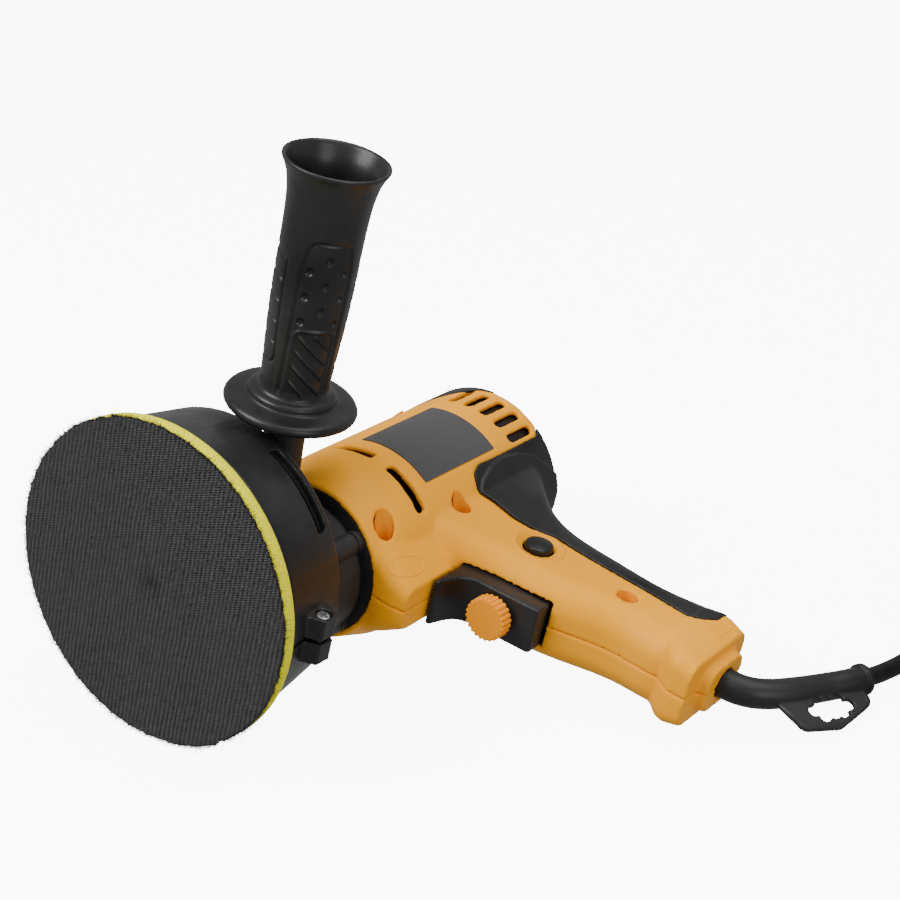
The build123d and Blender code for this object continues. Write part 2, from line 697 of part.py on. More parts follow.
# ------------------------------------------------------------------ housing halves and skins

HOUSING_SCREWS = [(47.5, 71.5), (54.6, 112.5), (127.5, 121.7), (-5.0, 78.0), (-5.2, 147.0)]
HEAD_LEVEL = 2.0
POST_RADIUS = 4.6
REAR_VENTS = [-19 + 12.5 * step for step in range(5)]
LABEL_ANGLES = (-21, 53)
LABEL_STATIONS = (100.8, 146.7)

with BuildPart() as posts:
    for x, y in HOUSING_SCREWS:
        with BuildSketch(facing_side(x, y, -40)):
            Circle(POST_RADIUS)
        extrude(amount=80)
    with BuildSketch(facing_tail(MOTOR_X, TAIL_BEARING[3] + 0.8)):
        Circle(38)
        Circle(12.05, mode=Mode.SUBTRACT)
    extrude(amount=4.5)
    for start in (STATOR_START + 3, STATOR_END - 6):
        with BuildSketch(facing_tail(MOTOR_X, start)):
            Circle(38)
            Circle(STATOR_RADIUS + 0.2, mode=Mode.SUBTRACT)
        extrude(amount=2.5)
with BuildPart() as inner_ribs:
    add(posts.part)
    add(OUTSIDE, mode=Mode.INTERSECT)

with BuildPart() as vents:
    for angle in REAR_VENTS:
        for side in (1, -1):
            turn = angle if side == 1 else 180 - angle
            with BuildSketch(out_of_axis(MOTOR_X, turn, 165.9, 30)):
                SlotOverall(16.4, 3.8, rotation=90)
            extrude(amount=10)
    for first, sweep_angle in [(-28, 28), (12, 35)]:
        add(ring_sector(MOTOR, 31, 40, 88.4, 93.2, first, sweep_angle))
        add(ring_sector(MOTOR, 31, 40, 88.4, 93.2, 180 - first - sweep_angle, sweep_angle))

with BuildPart() as label_seats:
    for first in (LABEL_ANGLES[0], 180 - LABEL_ANGLES[0] - LABEL_ANGLES[1]):
        add(ring_sector(
            MOTOR, BARREL_RADIUS - LABEL_THICKNESS - 0.1, BARREL_RADIUS + 2,
            LABEL_STATIONS[0] - 0.5, LABEL_STATIONS[1] + 0.5, first - 0.7, LABEL_ANGLES[1] + 1.4,
        ))

with BuildPart() as openings:
    with BuildSketch(facing_tail(MOTOR_X, BARREL_START - 2)):
        Circle(29.1)
    extrude(amount=10)
    with BuildSketch(facing_tail(0, BARREL_START - 2)):
        Circle(13.5)
    extrude(amount=9.5)
    with BuildSketch(facing_side(0, 0, -10.1)):
        with BuildLine():
            Polyline((69.7, 60), (108.2, 60), (108.2, 101), (107.0, 113), (71, 113), (69.7, 101), close=True)
        make_face()
    extrude(amount=20.2)
    with BuildSketch(facing_side(BUTTON_X, BUTTON_Y, 0)):
        Circle(BUTTON_RADIUS + 0.4)
    extrude(amount=30)
    with BuildSketch(facing_side(BUTTON_X, BUTTON_Y, 17.0)):
        Circle(BUTTON_RADIUS + 2.2)
    extrude(amount=6, taper=-20)
    with BuildSketch(facing_handle(BOOT_START - 0.1, EXIT_Y)):
        Circle(BOOT_RADIUS + 0.05)
    extrude(amount=40)
    with BuildSketch(facing_handle(BOOT_START - 0.1, EXIT_Y)):
        Circle(8.6)
    extrude(amount=3.0)
    for x, y in HOUSING_SCREWS:
        with BuildSketch(facing_side(x, y, HEAD_LEVEL)):
            Circle(3.6)
        extrude(amount=40, taper=-1.5)
        with BuildSketch(facing_side(x, y, -20)):
            Circle(SCREW_RADIUS + 0.05)
        extrude(amount=40)

with BuildPart() as hard_shell:
    add(OUTSIDE)
    add(CAVITY, mode=Mode.SUBTRACT)
    add(inner_ribs.part)
    add(vents.part, mode=Mode.SUBTRACT)
    add(label_seats.part, mode=Mode.SUBTRACT)
    add(openings.part, mode=Mode.SUBTRACT)

under_skin = housing_form(SKIN)
with BuildPart() as skin_space:
    add(soft_region(SEAM))
    add(under_skin, mode=Mode.SUBTRACT)
with BuildPart() as soft_skin:
    add(housing_form(-SKIN_PROUD))
    add(housing_form(SKIN - 0.02), mode=Mode.SUBTRACT)
    add(soft_region(0), mode=Mode.INTERSECT)
    add(openings.part, mode=Mode.SUBTRACT)


def half_of(solid, side):
    """The part of a solid on one side of the parting plane."""
    with BuildPart() as half:
        add(solid)
        split(bisect_by=Plane.XY, keep=Keep.TOP if side > 0 else Keep.BOTTOM)
    return half


with BuildPart() as hard_form:
    add(hard_shell.part)
    add(skin_space.part, mode=Mode.SUBTRACT)
housing_left = half_of(hard_form.part, 1)
housing_right = half_of(hard_form.part, -1)
overmould_left = half_of(soft_skin.part, 1)
overmould_right = half_of(soft_skin.part, -1)


def label(first):
    """A thin label that lies in its seat on the barrel."""
    with BuildPart() as plate:
        add(ring_sector(
            MOTOR, BARREL_RADIUS - LABEL_THICKNESS, BARREL_RADIUS, *LABEL_STATIONS, first, LABEL_ANGLES[1],
        ))
    return plate


name_label = label(LABEL_ANGLES[0])
rating_label = label(180 - LABEL_ANGLES[0] - LABEL_ANGLES[1])

with BuildPart() as housing_screws:
    for x, y in HOUSING_SCREWS:
        add(pan_head_screw(facing_side(x, y, HEAD_LEVEL + 0.05), SCREW_RADIUS, 22, 3.3, 2.0))


# ------------------------------------------------------------------ trigger, dial and button

with BuildPart() as trigger:
    with BuildSketch(facing_side(0, 0, -TRIGGER_HALF)):
        with BuildLine():
            Line((107.4, 101.0), (70.2, 101.0))
            Line((70.2, 101.0), (70.2, 79.0))
            ThreePointArc((70.2, 79.0), (71.3, 77.5), (72.7, 78.6))
            Spline((72.7, 78.6), (75.6, 87.0), (82.4, 91.3), tangents=[(0.35, 1), (1, 0.1)])
            Line((82.4, 91.3), (106.2, 93.3))
            ThreePointArc((106.2, 93.3), (107.1, 93.8), (107.4, 94.6))
            Line((107.4, 94.6), (107.4, 101.0))
        make_face()
    extrude(amount=2 * TRIGGER_HALF)
    rims = [
        edge for edge in trigger.edges().filter_by(Axis.Z, reverse=True) if edge.center().Y < 100.5
    ]
    fillet(rims, 0.7)
    with BuildSketch(facing_side(0, 0, 0.8 - TRIGGER_HALF)):
        with BuildLine():
            Polyline((71.0, 100.0), (106.4, 100.0), (106.4, TRIGGER_BACK), (71.0, TRIGGER_BACK), close=True)
        make_face()
    extrude(amount=2 * TRIGGER_HALF - 1.6)
    with BuildSketch(facing_tail(DIAL_X, 88)):
        Circle(2.7)
    extrude(amount=8, mode=Mode.SUBTRACT)
    with BuildSketch(facing_tail(TRIGGER_SPRING_X, TRIGGER_BACK)):
        Circle(3.4)
    extrude(amount=-TRIGGER_TRAVEL - 0.5, mode=Mode.SUBTRACT)

with BuildPart() as speed_dial:
    with BuildSketch(facing_tail(DIAL_X, DIAL_START)):
        Circle(DIAL_RADIUS - 0.7)
        with PolarLocations(DIAL_RADIUS - 0.9, 24):
            Circle(0.9)
    extrude(amount=DIAL_END - DIAL_START)
    chamfer(speed_dial.faces().sort_by(Axis.Y)[0].edges(), 0.35)
    with BuildSketch(facing_tail(DIAL_X, DIAL_END)):
        Circle(2.6)
    extrude(amount=5)

with BuildPart() as lock_button:
    with BuildSketch(Plane(origin=(BUTTON_X, BUTTON_Y, 0), x_dir=(1, 0, 0), z_dir=(0, -1, 0))):
        with BuildLine():
            Polyline(
                (0, BUTTON_TOP), (0, 9.6), (3.2, 9.6), (3.2, 12.6), (7.2, 12.6), (7.2, 14.4),
                (BUTTON_RADIUS, 14.4), (BUTTON_RADIUS, BUTTON_TOP - 1.6),
            )
            Spline(
                (BUTTON_RADIUS, BUTTON_TOP - 1.6), (BUTTON_RADIUS - 1.2, BUTTON_TOP - 0.6), (0, BUTTON_TOP),
                tangents=[(0, 1), (-1, 0)],
            )
        make_face()
    revolve(axis=Axis((BUTTON_X, BUTTON_Y, 0), (0, 0, 1)))

lock_spring = spring(facing_side(BUTTON_X, BUTTON_Y, 3.6), 2.4, 0.3, 5.6, 5)
spring_seat = facing_tail(TRIGGER_SPRING_X, TRIGGER_BACK + 0.4)
trigger_spring = spring(spring_seat, 2.6, 0.35, SWITCH_START - TRIGGER_BACK - 0.8, 5)

# ------------------------------------------------------------------ electrics in the handle

with BuildPart() as switch_body:
    with BuildSketch(facing_tail(89, SWITCH_START, -3.2)):
        RectangleRounded(34, 12.6, 1.5)
    extrude(amount=18)
    with BuildSketch(facing_tail(98, SWITCH_START - 2.2, -3.2)):
        Circle(2.0)
    extrude(amount=3)

with BuildPart() as capacitor:
    with BuildSketch(facing_tail(115, 116.5, -7.4)):
        RectangleRounded(12, 7.6, 1.2)
    extrude(amount=17)

with BuildPart() as inner_cord:
    add(rod(facing_handle(134, EXIT_Y), CORD_DIAMETER / 2 - 0.05, BOOT_START - 134.05))
with BuildPart() as motor_leads:
    for z in (5, -5):
        with BuildLine() as lead:
            Spline((80, 134.6, z), (74, 143, 1.7 * z), (58, 150, 2.8 * z), (38, 153, 4.0 * z))
        with BuildSketch(Plane(origin=lead.edge() @ 0, z_dir=lead.edge() % 0)):
            Circle(1.0)
        sweep(path=lead.edge())
with BuildPart() as lead_wires:
    for y in (128.2, 130.6):
        with BuildSketch(facing_handle(106.1, y, 1.2)):
            Circle(1.0)
        extrude(amount=27.8)

CLAMP_X = 152.0
CLAMP_REACH = 8.5
with BuildPart() as cord_clamp:
    with BuildSketch(facing_handle(CLAMP_X - 4, EXIT_Y, 4.2)):
        RectangleRounded(24, 7.6, 1.5)
        with Locations((0, -4.2)):
            Circle(CORD_DIAMETER / 2 + 0.1, mode=Mode.SUBTRACT)
    extrude(amount=8)
    with BuildSketch(facing_side(CLAMP_X, EXIT_Y, 0)):
        with Locations((0, CLAMP_REACH), (0, -CLAMP_REACH)):
            Circle(1.75)
    extrude(amount=10, mode=Mode.SUBTRACT)
with BuildPart() as clamp_screws:
    for y in (EXIT_Y - CLAMP_REACH, EXIT_Y + CLAMP_REACH):
        add(pan_head_screw(facing_side(CLAMP_X, y, 8.05), 1.6, 14, 3.0, 1.9))

# ------------------------------------------------------------------ resting on the floor


def touch_of_ring(centre, axis, ring_radius, tube_radius, up):
    """Where a round rim, a ring of tube_radius round an axis, touches the floor below it."""
    across = (up - axis * up.dot(axis)).normalized()
    return centre - across * ring_radius - up * tube_radius


along_tool = Vector(0, 1, 0)
along_handle = Vector(1, 0, 0)
pad_centre = Vector(0, FOAM_END - FOAM_ROUND, 0)
tail_centre = Vector(MOTOR_X, TAIL_START, 0)
block_corner = Vector(BLOCK_REST, BLOCK_BACK - BLOCK_CORNER, BLOCK_CORNER - BLOCK_HALF)
upward = Vector(0, 0, 1)
for _ in range(40):
    pad_touch = touch_of_ring(pad_centre, along_tool, PAD_RADIUS - 1.5, FOAM_ROUND, upward)
    tail_touch = touch_of_ring(
        tail_centre, along_tool, BARREL_RADIUS - TAIL_ROUND, TAIL_ROUND + SKIN_PROUD, upward
    )
    block_touch = touch_of_ring(block_corner, along_handle, BLOCK_CORNER, 0, upward)
    upward = (block_touch - pad_touch).cross(tail_touch - pad_touch).normalized()

floor = Plane(origin=upward * pad_touch.dot(upward), x_dir=along_tool.cross(upward), z_dir=upward)
to_floor = floor.location.inverse()

# ------------------------------------------------------------------ strain relief, cord and plug

# From here on the pieces are in floor axes.


def floor_point(x, y, z):
    """A point of the tool axes, in floor axes."""
    return (to_floor * Location((x, y, z))).position


handle_end = floor_point(EXIT_X, EXIT_Y, 0)
handle_way = handle_end - floor_point(EXIT_X - 1, EXIT_Y, 0)
boot_start = floor_point(BOOT_START, EXIT_Y, 0)
cord_way = Vector(*CORD_ROUTE[1]) - Vector(*CORD_ROUTE[0])

with BuildLine() as boot_path:
    Line(boot_start, handle_end)
    Spline(handle_end, *BOOT_ROUTE, tangents=[handle_way, cord_way])


def across_boot(share):
    """A plane across the boot at a share of its length. Its X lies level."""
    way = boot_path.wires()[0] % share
    return Plane(origin=boot_path.wires()[0] @ share, x_dir=way.cross(Vector(0, 0, 1)), z_dir=way)


tab_along = Vector(0.487, 0.864, -0.128)
tab_across = Vector(0.76, -0.49, -0.43)
tab = Plane(origin=(188.9, 135.0, 12.0), x_dir=tab_along, z_dir=tab_along.cross(tab_across))
with BuildPart() as strain_relief:
    for step in range(BOOT_STEPS + 1):
        share = step / BOOT_STEPS
        with BuildSketch(across_boot(share)):
            Circle(BOOT_RADIUS + share * (BOOT_END_RADIUS - BOOT_RADIUS))
    loft()
    with BuildSketch(across_boot(0)):
        Circle(8.5)
    extrude(amount=2.8)
    with BuildSketch(across_boot(1)):
        Circle(BOOT_END_RADIUS + 1.0)
    extrude(amount=-2.2)
    with BuildSketch(tab):
        with BuildLine():
            FilletPolyline(*TAB_OUTLINE, radius=4, close=True)
        make_face()
        for angle, length in [(0, 20), (35, 15), (-35, 15), (90, 9.5)]:
            with Locations(Location((13.3, 10.6, 0), (0, 0, angle))):
                SlotOverall(length, 4.4, mode=Mode.SUBTRACT)
    extrude(amount=1.1, both=True)


def bend_radii(points):
    """The radius of the arc at each inner point, 0.45 of its shorter run wide."""
    places = [Vector(*point) for point in points]
    radii = []
    for before, here, after in zip(places, places[1:], places[2:]):
        turn = math.radians((here - before).get_angle(after - here))
        shorter = min((here - before).length, (after - here).length)
        radii.append(0.45 * shorter / math.tan(turn / 2))
    return radii


cord_radii = bend_radii(CORD_ROUTE)
with BuildPart() as cord:
    with BuildLine() as cord_path:
        FilletPolyline(*CORD_ROUTE, radius=cord_radii)
    cord_line = cord_path.wires()[0]
    with BuildSketch(Plane(origin=cord_line @ 0, z_dir=cord_line % 0)):
        Circle(CORD_DIAMETER / 2)
    sweep(path=cord_line)
cord_section = math.pi * (CORD_DIAMETER / 2) ** 2
print("cord bend radii:", [round(radius, 1) for radius in cord_radii])
print("cord volume share:", round(cord.part.volume / (cord_section * cord_line.length), 4))

# The coil's outer layer passes the cord's end and leaves for the plug on its far side.
# Its two leads are a little thinner than the cord, so that they cross its round sides cleanly.
LEAD_RADIUS = CORD_DIAMETER / 2 - 0.05
outer_turn = COIL_RADIUS + CORD_DIAMETER / 2
coil_height = COIL_LAYERS * CORD_DIAMETER
cord_end = Vector(*CORD_ROUTE[-1])
coil_x = cord_end.X + outer_turn
coil_y = cord_end.Y + 28.0
plug_x = coil_x + outer_turn
with BuildPart() as cord_coil:
    with BuildSketch(Plane(origin=(coil_x, coil_y, 0), x_dir=(1, 0, 0), z_dir=(0, -1, 0))):
        with Locations((COIL_RADIUS, coil_height / 2 + 0.1)):
            RectangleRounded(2 * CORD_DIAMETER, coil_height, CORD_DIAMETER / 2 - 0.1)
    revolve(axis=Axis((coil_x, coil_y, 0), (0, 0, 1)))
    with BuildSketch(Plane(origin=cord_end + Vector(0, 0.3, 0.1), z_dir=(0, 1, 0))):
        Circle(LEAD_RADIUS)
    extrude(amount=coil_y + 4 - cord_end.Y)
    lead_start = Vector(plug_x - 1.0, coil_y + 6, 4.2)
    with BuildLine() as way_out:
        Spline(lead_start, (plug_x, PLUG_BACK, PLUG_LEVEL), tangents=[(0, -1, 0), (0, -1, 0)])
    with BuildSketch(Plane(origin=lead_start, z_dir=(0, -1, 0))):
        Circle(LEAD_RADIUS)
    sweep(path=way_out.wires()[0])

with BuildPart() as plug_body:
    with BuildSketch(Plane(origin=(plug_x, PLUG_BACK, PLUG_LEVEL), z_dir=(0, -1, 0))):
        Circle(5.0)
    extrude(amount=14)
    with BuildSketch(Plane(origin=(plug_x, PLUG_BACK - 8, 0.2))):
        with BuildLine():
            Line((-7, 0), (7, 0))
            Spline((7, 0), (12, -12), (18, -24), (17, -42))
            Line((17, -42), (-17, -42))
            Spline((-17, -42), (-18, -24), (-12, -12), (-7, 0))
        make_face()
    extrude(amount=2 * (PLUG_LEVEL - 0.2))
    fillet(plug_body.faces().sort_by(Axis.Z)[-1].edges(), 2.5)
    fillet(plug_body.faces().sort_by(Axis.Z)[0].edges(), 2.5)

with BuildPart() as plug_pins:
    face = Plane(origin=(plug_x, PLUG_BACK - 50, PLUG_LEVEL), x_dir=(1, 0, 0), z_dir=(0, -1, 0))
    with BuildSketch(face):
        with Locations((-9.5, 0), (9.5, 0)):
            Circle(2.4)
    extrude(amount=19)
    fillet(plug_pins.faces().sort_by(Axis.Y)[:2].edges(), 1.2)

# ------------------------------------------------------------------ laying down and saving

tool_pieces = {
    "hook_face": hook_face,
    "pad_foam": pad_foam,
    "backing_plate": backing_plate,
    "pad_insert": pad_insert,
    "spindle": spindle,
    "drive_gear": drive_gear,
    "gear_ring": gear_ring,
    "armature_shaft": armature_shaft,
    "armature_core": armature_core,
    "armature_windings": armature_windings,
    "commutator": commutator,
    "cooling_fan": cooling_fan,
    "motor_bearing": motor_bearing,
    "tail_bearing": tail_bearing,
    "tail_bush": tail_bush,
    "vent_gauze": vent_gauze,
    "stator_core": stator_core,
    "field_coils": field_coils,
    "brush_holders": brush_holders,
    "brush_caps": brush_caps,
    "carbon_brushes": carbon_brushes,
    "brush_springs": brush_springs,
    "gear_case": gear_case,
    "bearing_plate": bearing_plate,
    "front_bearing": front_bearing,
    "rear_bearing": rear_bearing,
    "case_screws": case_screws,
    "guard_plate": guard_plate,
    "guard_plate_screws": guard_plate_screws,
    "guard_band": guard_band,
    "guard_clamp_screw": guard_clamp_screw,
    "guard_clamp_nut": guard_clamp_nut,
    "side_handle": side_handle,
    "side_handle_stud": side_handle_stud,
    "housing_left": housing_left,
    "housing_right": housing_right,
    "overmould_left": overmould_left,
    "overmould_right": overmould_right,
    "name_label": name_label,
    "rating_label": rating_label,
    "housing_screws": housing_screws,
    "trigger": trigger,
    "speed_dial": speed_dial,
    "lock_button": lock_button,
    "lock_spring": lock_spring,
    "trigger_spring": trigger_spring,
    "switch_body": switch_body,
    "capacitor": capacitor,
    "inner_cord": inner_cord,
    "lead_wires": lead_wires,
    "motor_leads": motor_leads,
    "cord_clamp": cord_clamp,
    "clamp_screws": clamp_screws,
}
floor_pieces = {"strain_relief": strain_relief}
cord_pieces = {"cord": cord, "cord_coil": cord_coil, "plug_body": plug_body, "plug_pins": plug_pins}

laid = {name: piece.part.moved(to_floor) for name, piece in tool_pieces.items()}
laid.update({name: piece.part for name, piece in floor_pieces.items()})
boxes = [part.bounding_box() for part in laid.values()]
centre = Location((
    -(min(box.min.X for box in boxes) + max(box.max.X for box in boxes)) / 2,
    -(min(box.min.Y for box in boxes) + max(box.max.Y for box in boxes)) / 2,
    -min(box.min.Z for box in boxes),
))
laid.update({name: piece.part for name, piece in cord_pieces.items()})

os.makedirs("parts", exist_ok=True)
for name, part in laid.items():
    placed = part.moved(centre)
    placed.label = name
    export_step(placed, f"parts/{name}.step")
print("upward in tool axes:", upward)
print("floor axes moved by", centre)
print("tool origin at", centre * to_floor)
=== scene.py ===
import bpy
import json
import math
import random
from mathutils import Matrix, Vector, noise
from mathutils.bvhtree import BVHTree


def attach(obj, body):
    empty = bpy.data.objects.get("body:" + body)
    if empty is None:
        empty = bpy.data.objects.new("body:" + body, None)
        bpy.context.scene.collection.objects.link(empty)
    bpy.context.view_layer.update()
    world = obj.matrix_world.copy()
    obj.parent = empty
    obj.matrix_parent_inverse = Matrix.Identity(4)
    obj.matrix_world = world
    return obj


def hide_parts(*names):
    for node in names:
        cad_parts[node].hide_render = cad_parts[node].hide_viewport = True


# A car polisher lying on its side, on a pale floor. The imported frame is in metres. Most pieces are
# made in tool axes, in millimetres: X runs along the main handle, Y from the pad to the motor's tail,
# Z towards the side handle. The joints give where those axes lie.

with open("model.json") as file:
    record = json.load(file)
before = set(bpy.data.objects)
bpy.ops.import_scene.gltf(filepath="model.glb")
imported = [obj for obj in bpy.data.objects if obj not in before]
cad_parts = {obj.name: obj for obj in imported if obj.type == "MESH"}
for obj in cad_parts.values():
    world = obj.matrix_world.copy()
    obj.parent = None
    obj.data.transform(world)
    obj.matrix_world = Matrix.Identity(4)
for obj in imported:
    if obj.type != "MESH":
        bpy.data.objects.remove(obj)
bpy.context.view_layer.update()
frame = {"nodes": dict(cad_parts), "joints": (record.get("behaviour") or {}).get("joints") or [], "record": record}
MM = 0.001

joints = {joint["name"]: joint for joint in frame["joints"]}
PAD_CENTRE = Vector(joints["pad_spin"]["pos_m"])
TOOL_Y = Vector(joints["pad_spin"]["axis"]).normalized()
TOOL_Z = -Vector(joints["lock_press"]["axis"]).normalized()
TOOL_X = TOOL_Y.cross(TOOL_Z)
TURN = Matrix((TOOL_X, TOOL_Y, TOOL_Z)).transposed()
TOOL = Matrix.Translation(PAD_CENTRE) @ (TURN * MM).to_4x4()

# ------------------------------------------------------------------ camera

CAMERA_AT = Vector((388.8, -491.7, 410.8))
CAMERA_RIGHT = Vector((0.791, 0.576, 0.204))
CAMERA_UP = Vector((-0.427, 0.282, 0.859))
CAMERA_LENS = 82.7


def aimed(right, up):
    """A rotation that looks along right x up, with that right and up."""
    back = right.cross(up).normalized()
    right = up.cross(back).normalized()
    return Matrix((right, back.cross(right), back)).transposed()


camera = bpy.data.objects.new("camera", bpy.data.cameras.new("camera"))
camera.data.lens = CAMERA_LENS
camera.data.sensor_width = 36
camera.data.clip_start = 0.01
camera.matrix_world = Matrix.Translation(TOOL @ CAMERA_AT) @ (TURN @ aimed(CAMERA_RIGHT, CAMERA_UP)).to_4x4()
bpy.context.scene.collection.objects.link(camera)
bpy.context.scene.camera = camera

# ------------------------------------------------------------------ making pieces


def shown(name, mesh, body, slot, *nodes):
    """A piece that rides on a body and stands for CAD nodes. Its slot is not used."""
    piece = bpy.data.objects.new(name, mesh)
    bpy.context.scene.collection.objects.link(piece)
    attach(piece, body)
    if nodes:
        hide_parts(*nodes)
    return piece


def surface(name, points, faces, smooth=True, place=TOOL):
    """A mesh from points in tool axes, or in another place's."""
    mesh = bpy.data.meshes.new(name)
    mesh.from_pydata([place @ Vector(point) for point in points], [], faces)
    mesh.polygons.foreach_set("use_smooth", [smooth] * len(mesh.polygons))
    mesh.update()
    return mesh


def grid_faces(rows, columns, closed=False):
    """The faces of a grid of points that wraps round in its columns, and in its rows if closed."""
    faces = []
    for row in range(rows if closed else rows - 1):
        for column in range(columns):
            beside = (column + 1) % columns
            below = (row + 1) % rows
            faces.append((
                row * columns + column, row * columns + beside,
                below * columns + beside, below * columns + column,
            ))
    return faces


def baked(piece):
    """The mesh that a piece's modifiers make."""
    graph = bpy.context.evaluated_depsgraph_get()
    return bpy.data.meshes.new_from_object(piece.evaluated_get(graph))


def softened(name, node, body, slot, voxel, passes):
    """A node's shape with its edges and inner corners rounded, as moulded plastic has them."""
    mesh = frame["nodes"][node].data.copy()
    piece = shown(name, mesh, body, slot, node)
    remesh = piece.modifiers.new("remesh", "REMESH")
    remesh.mode = "VOXEL"
    remesh.voxel_size = voxel * MM
    remesh.use_smooth_shade = True
    smooth = piece.modifiers.new("smooth", "SMOOTH")
    smooth.factor = 0.5
    smooth.iterations = passes
    made = baked(piece)
    piece.modifiers.clear()
    piece.data = made
    made.polygons.foreach_set("use_smooth", [True] * len(made.polygons))
    return piece


def painted(piece, finish):
    """Gives a piece, or a CAD node by name, one material."""
    piece = frame["nodes"][piece] if isinstance(piece, str) else piece
    piece.data.materials.clear()
    piece.data.materials.append(finish)
    return piece


def smoothstep(low, high, value):
    share = min(max((value - low) / (high - low), 0.0), 1.0)
    return share * share * (3 - 2 * share)


# ------------------------------------------------------------------ cord

# The route's points are part.py's, in metres, from the point on the floor below the pad's centre.
CORD_DIAMETER = 7.0 * MM
ROUTE = [
    (0.2053, 0.1641, 0.0067), (0.2092, 0.1777, 0.0039), (0.2136, 0.1967, 0.0036), (0.2137, 0.2086, 0.0036),
]
COIL_RADIUS = 41.5 * MM
COIL_AWAY = 28.0 * MM
COIL_GAP = 0.1 * MM
COIL_POINTS = 16  # in each turn
LAYER_PITCH = 1.004  # in cord diameters
LAYERS = 3
CLIMB_START = 0.25  # these four are in turns from the coil's start
DESCENT_START = 4.0
LAST_STEP = 6.0
COIL_TURNS = 6.5
PLUG_BACK = 0.1986
PLUG_LEVEL = 9.2 * MM
PLUG_ENTRY = 3.0 * MM
RISE_BACK = 14.0 * MM
RISE_LEVEL = 7.5 * MM
LEAVE_COIL = 12.0 * MM
FLOOR_POINT = Vector((PAD_CENTRE.x, PAD_CENTRE.y, 0))
ROUTE_END = Vector(ROUTE[-1])
COIL_CENTRE = Vector((
    FLOOR_POINT.x + ROUTE_END.x + COIL_RADIUS + CORD_DIAMETER / 2, FLOOR_POINT.y + ROUTE_END.y + COIL_AWAY, 0,
))


def coil_place(turns):
    """Where the coil's line is after some turns: up in its inner layer, then down in its outer one."""
    inner = COIL_RADIUS - CORD_DIAMETER / 2 - COIL_GAP
    outer = COIL_RADIUS + CORD_DIAMETER / 2 + COIL_GAP
    layer = CORD_DIAMETER * LAYER_PITCH
    climb_end = CLIMB_START + LAYERS
    if turns < climb_end:
        radius = outer + (inner - outer) * smoothstep(0, 0.3, turns)
        level = layer * max(turns - CLIMB_START, 0)
    else:
        radius = inner + (outer - inner) * smoothstep(climb_end, 3.8, turns)
        level = layer * (LAYERS - max(turns - DESCENT_START, 0))
        if turns > LAST_STEP:
            level = layer * (1 - smoothstep(LAST_STEP, COIL_TURNS, turns))
    angle = math.pi - 2 * math.pi * turns
    stretch = 1 / math.cos(math.pi / COIL_POINTS)  # the curve runs inside its control points
    reach = radius * stretch
    return COIL_CENTRE + Vector((reach * math.cos(angle), reach * math.sin(angle), ROUTE_END.z + level))


def cord_points():
    """The cord's control points, from the strain relief to the plug."""
    points = [FLOOR_POINT + Vector(point) for point in ROUTE]
    points += [coil_place(step / COIL_POINTS) for step in range(int(COIL_TURNS * COIL_POINTS) + 1)]
    side = COIL_CENTRE.x + COIL_RADIUS + CORD_DIAMETER / 2
    back = FLOOR_POINT.y + PLUG_BACK
    points += [
        Vector((side, COIL_CENTRE.y - LEAVE_COIL, ROUTE_END.z)),
        Vector((side, back + RISE_BACK, RISE_LEVEL)),
        Vector((side, back + PLUG_ENTRY, PLUG_LEVEL)),
        Vector((side, back - PLUG_ENTRY, PLUG_LEVEL)),
    ]
    return points


def make_cord():
    line = bpy.data.curves.new("power_cord", "CURVE")
    line.dimensions = "3D"
    line.bevel_depth = 1.0
    line.bevel_resolution = 5
    line.resolution_u = 8
    line.use_fill_caps = True
    spline = line.splines.new("NURBS")
    points = cord_points()
    spline.points.add(len(points) - 1)
    for point, place in zip(spline.points, points):
        point.co = (*place, 1)
        point.radius = CORD_DIAMETER / 2  # Blender adds this to the cord's box, so it holds the true radius
    spline.order_u = 3
    spline.use_endpoint_u = True
    return line


power_cord = shown("power_cord", make_cord(), "tool", "cord_rubber", "cord", "cord_coil")

# ------------------------------------------------------------------ materials


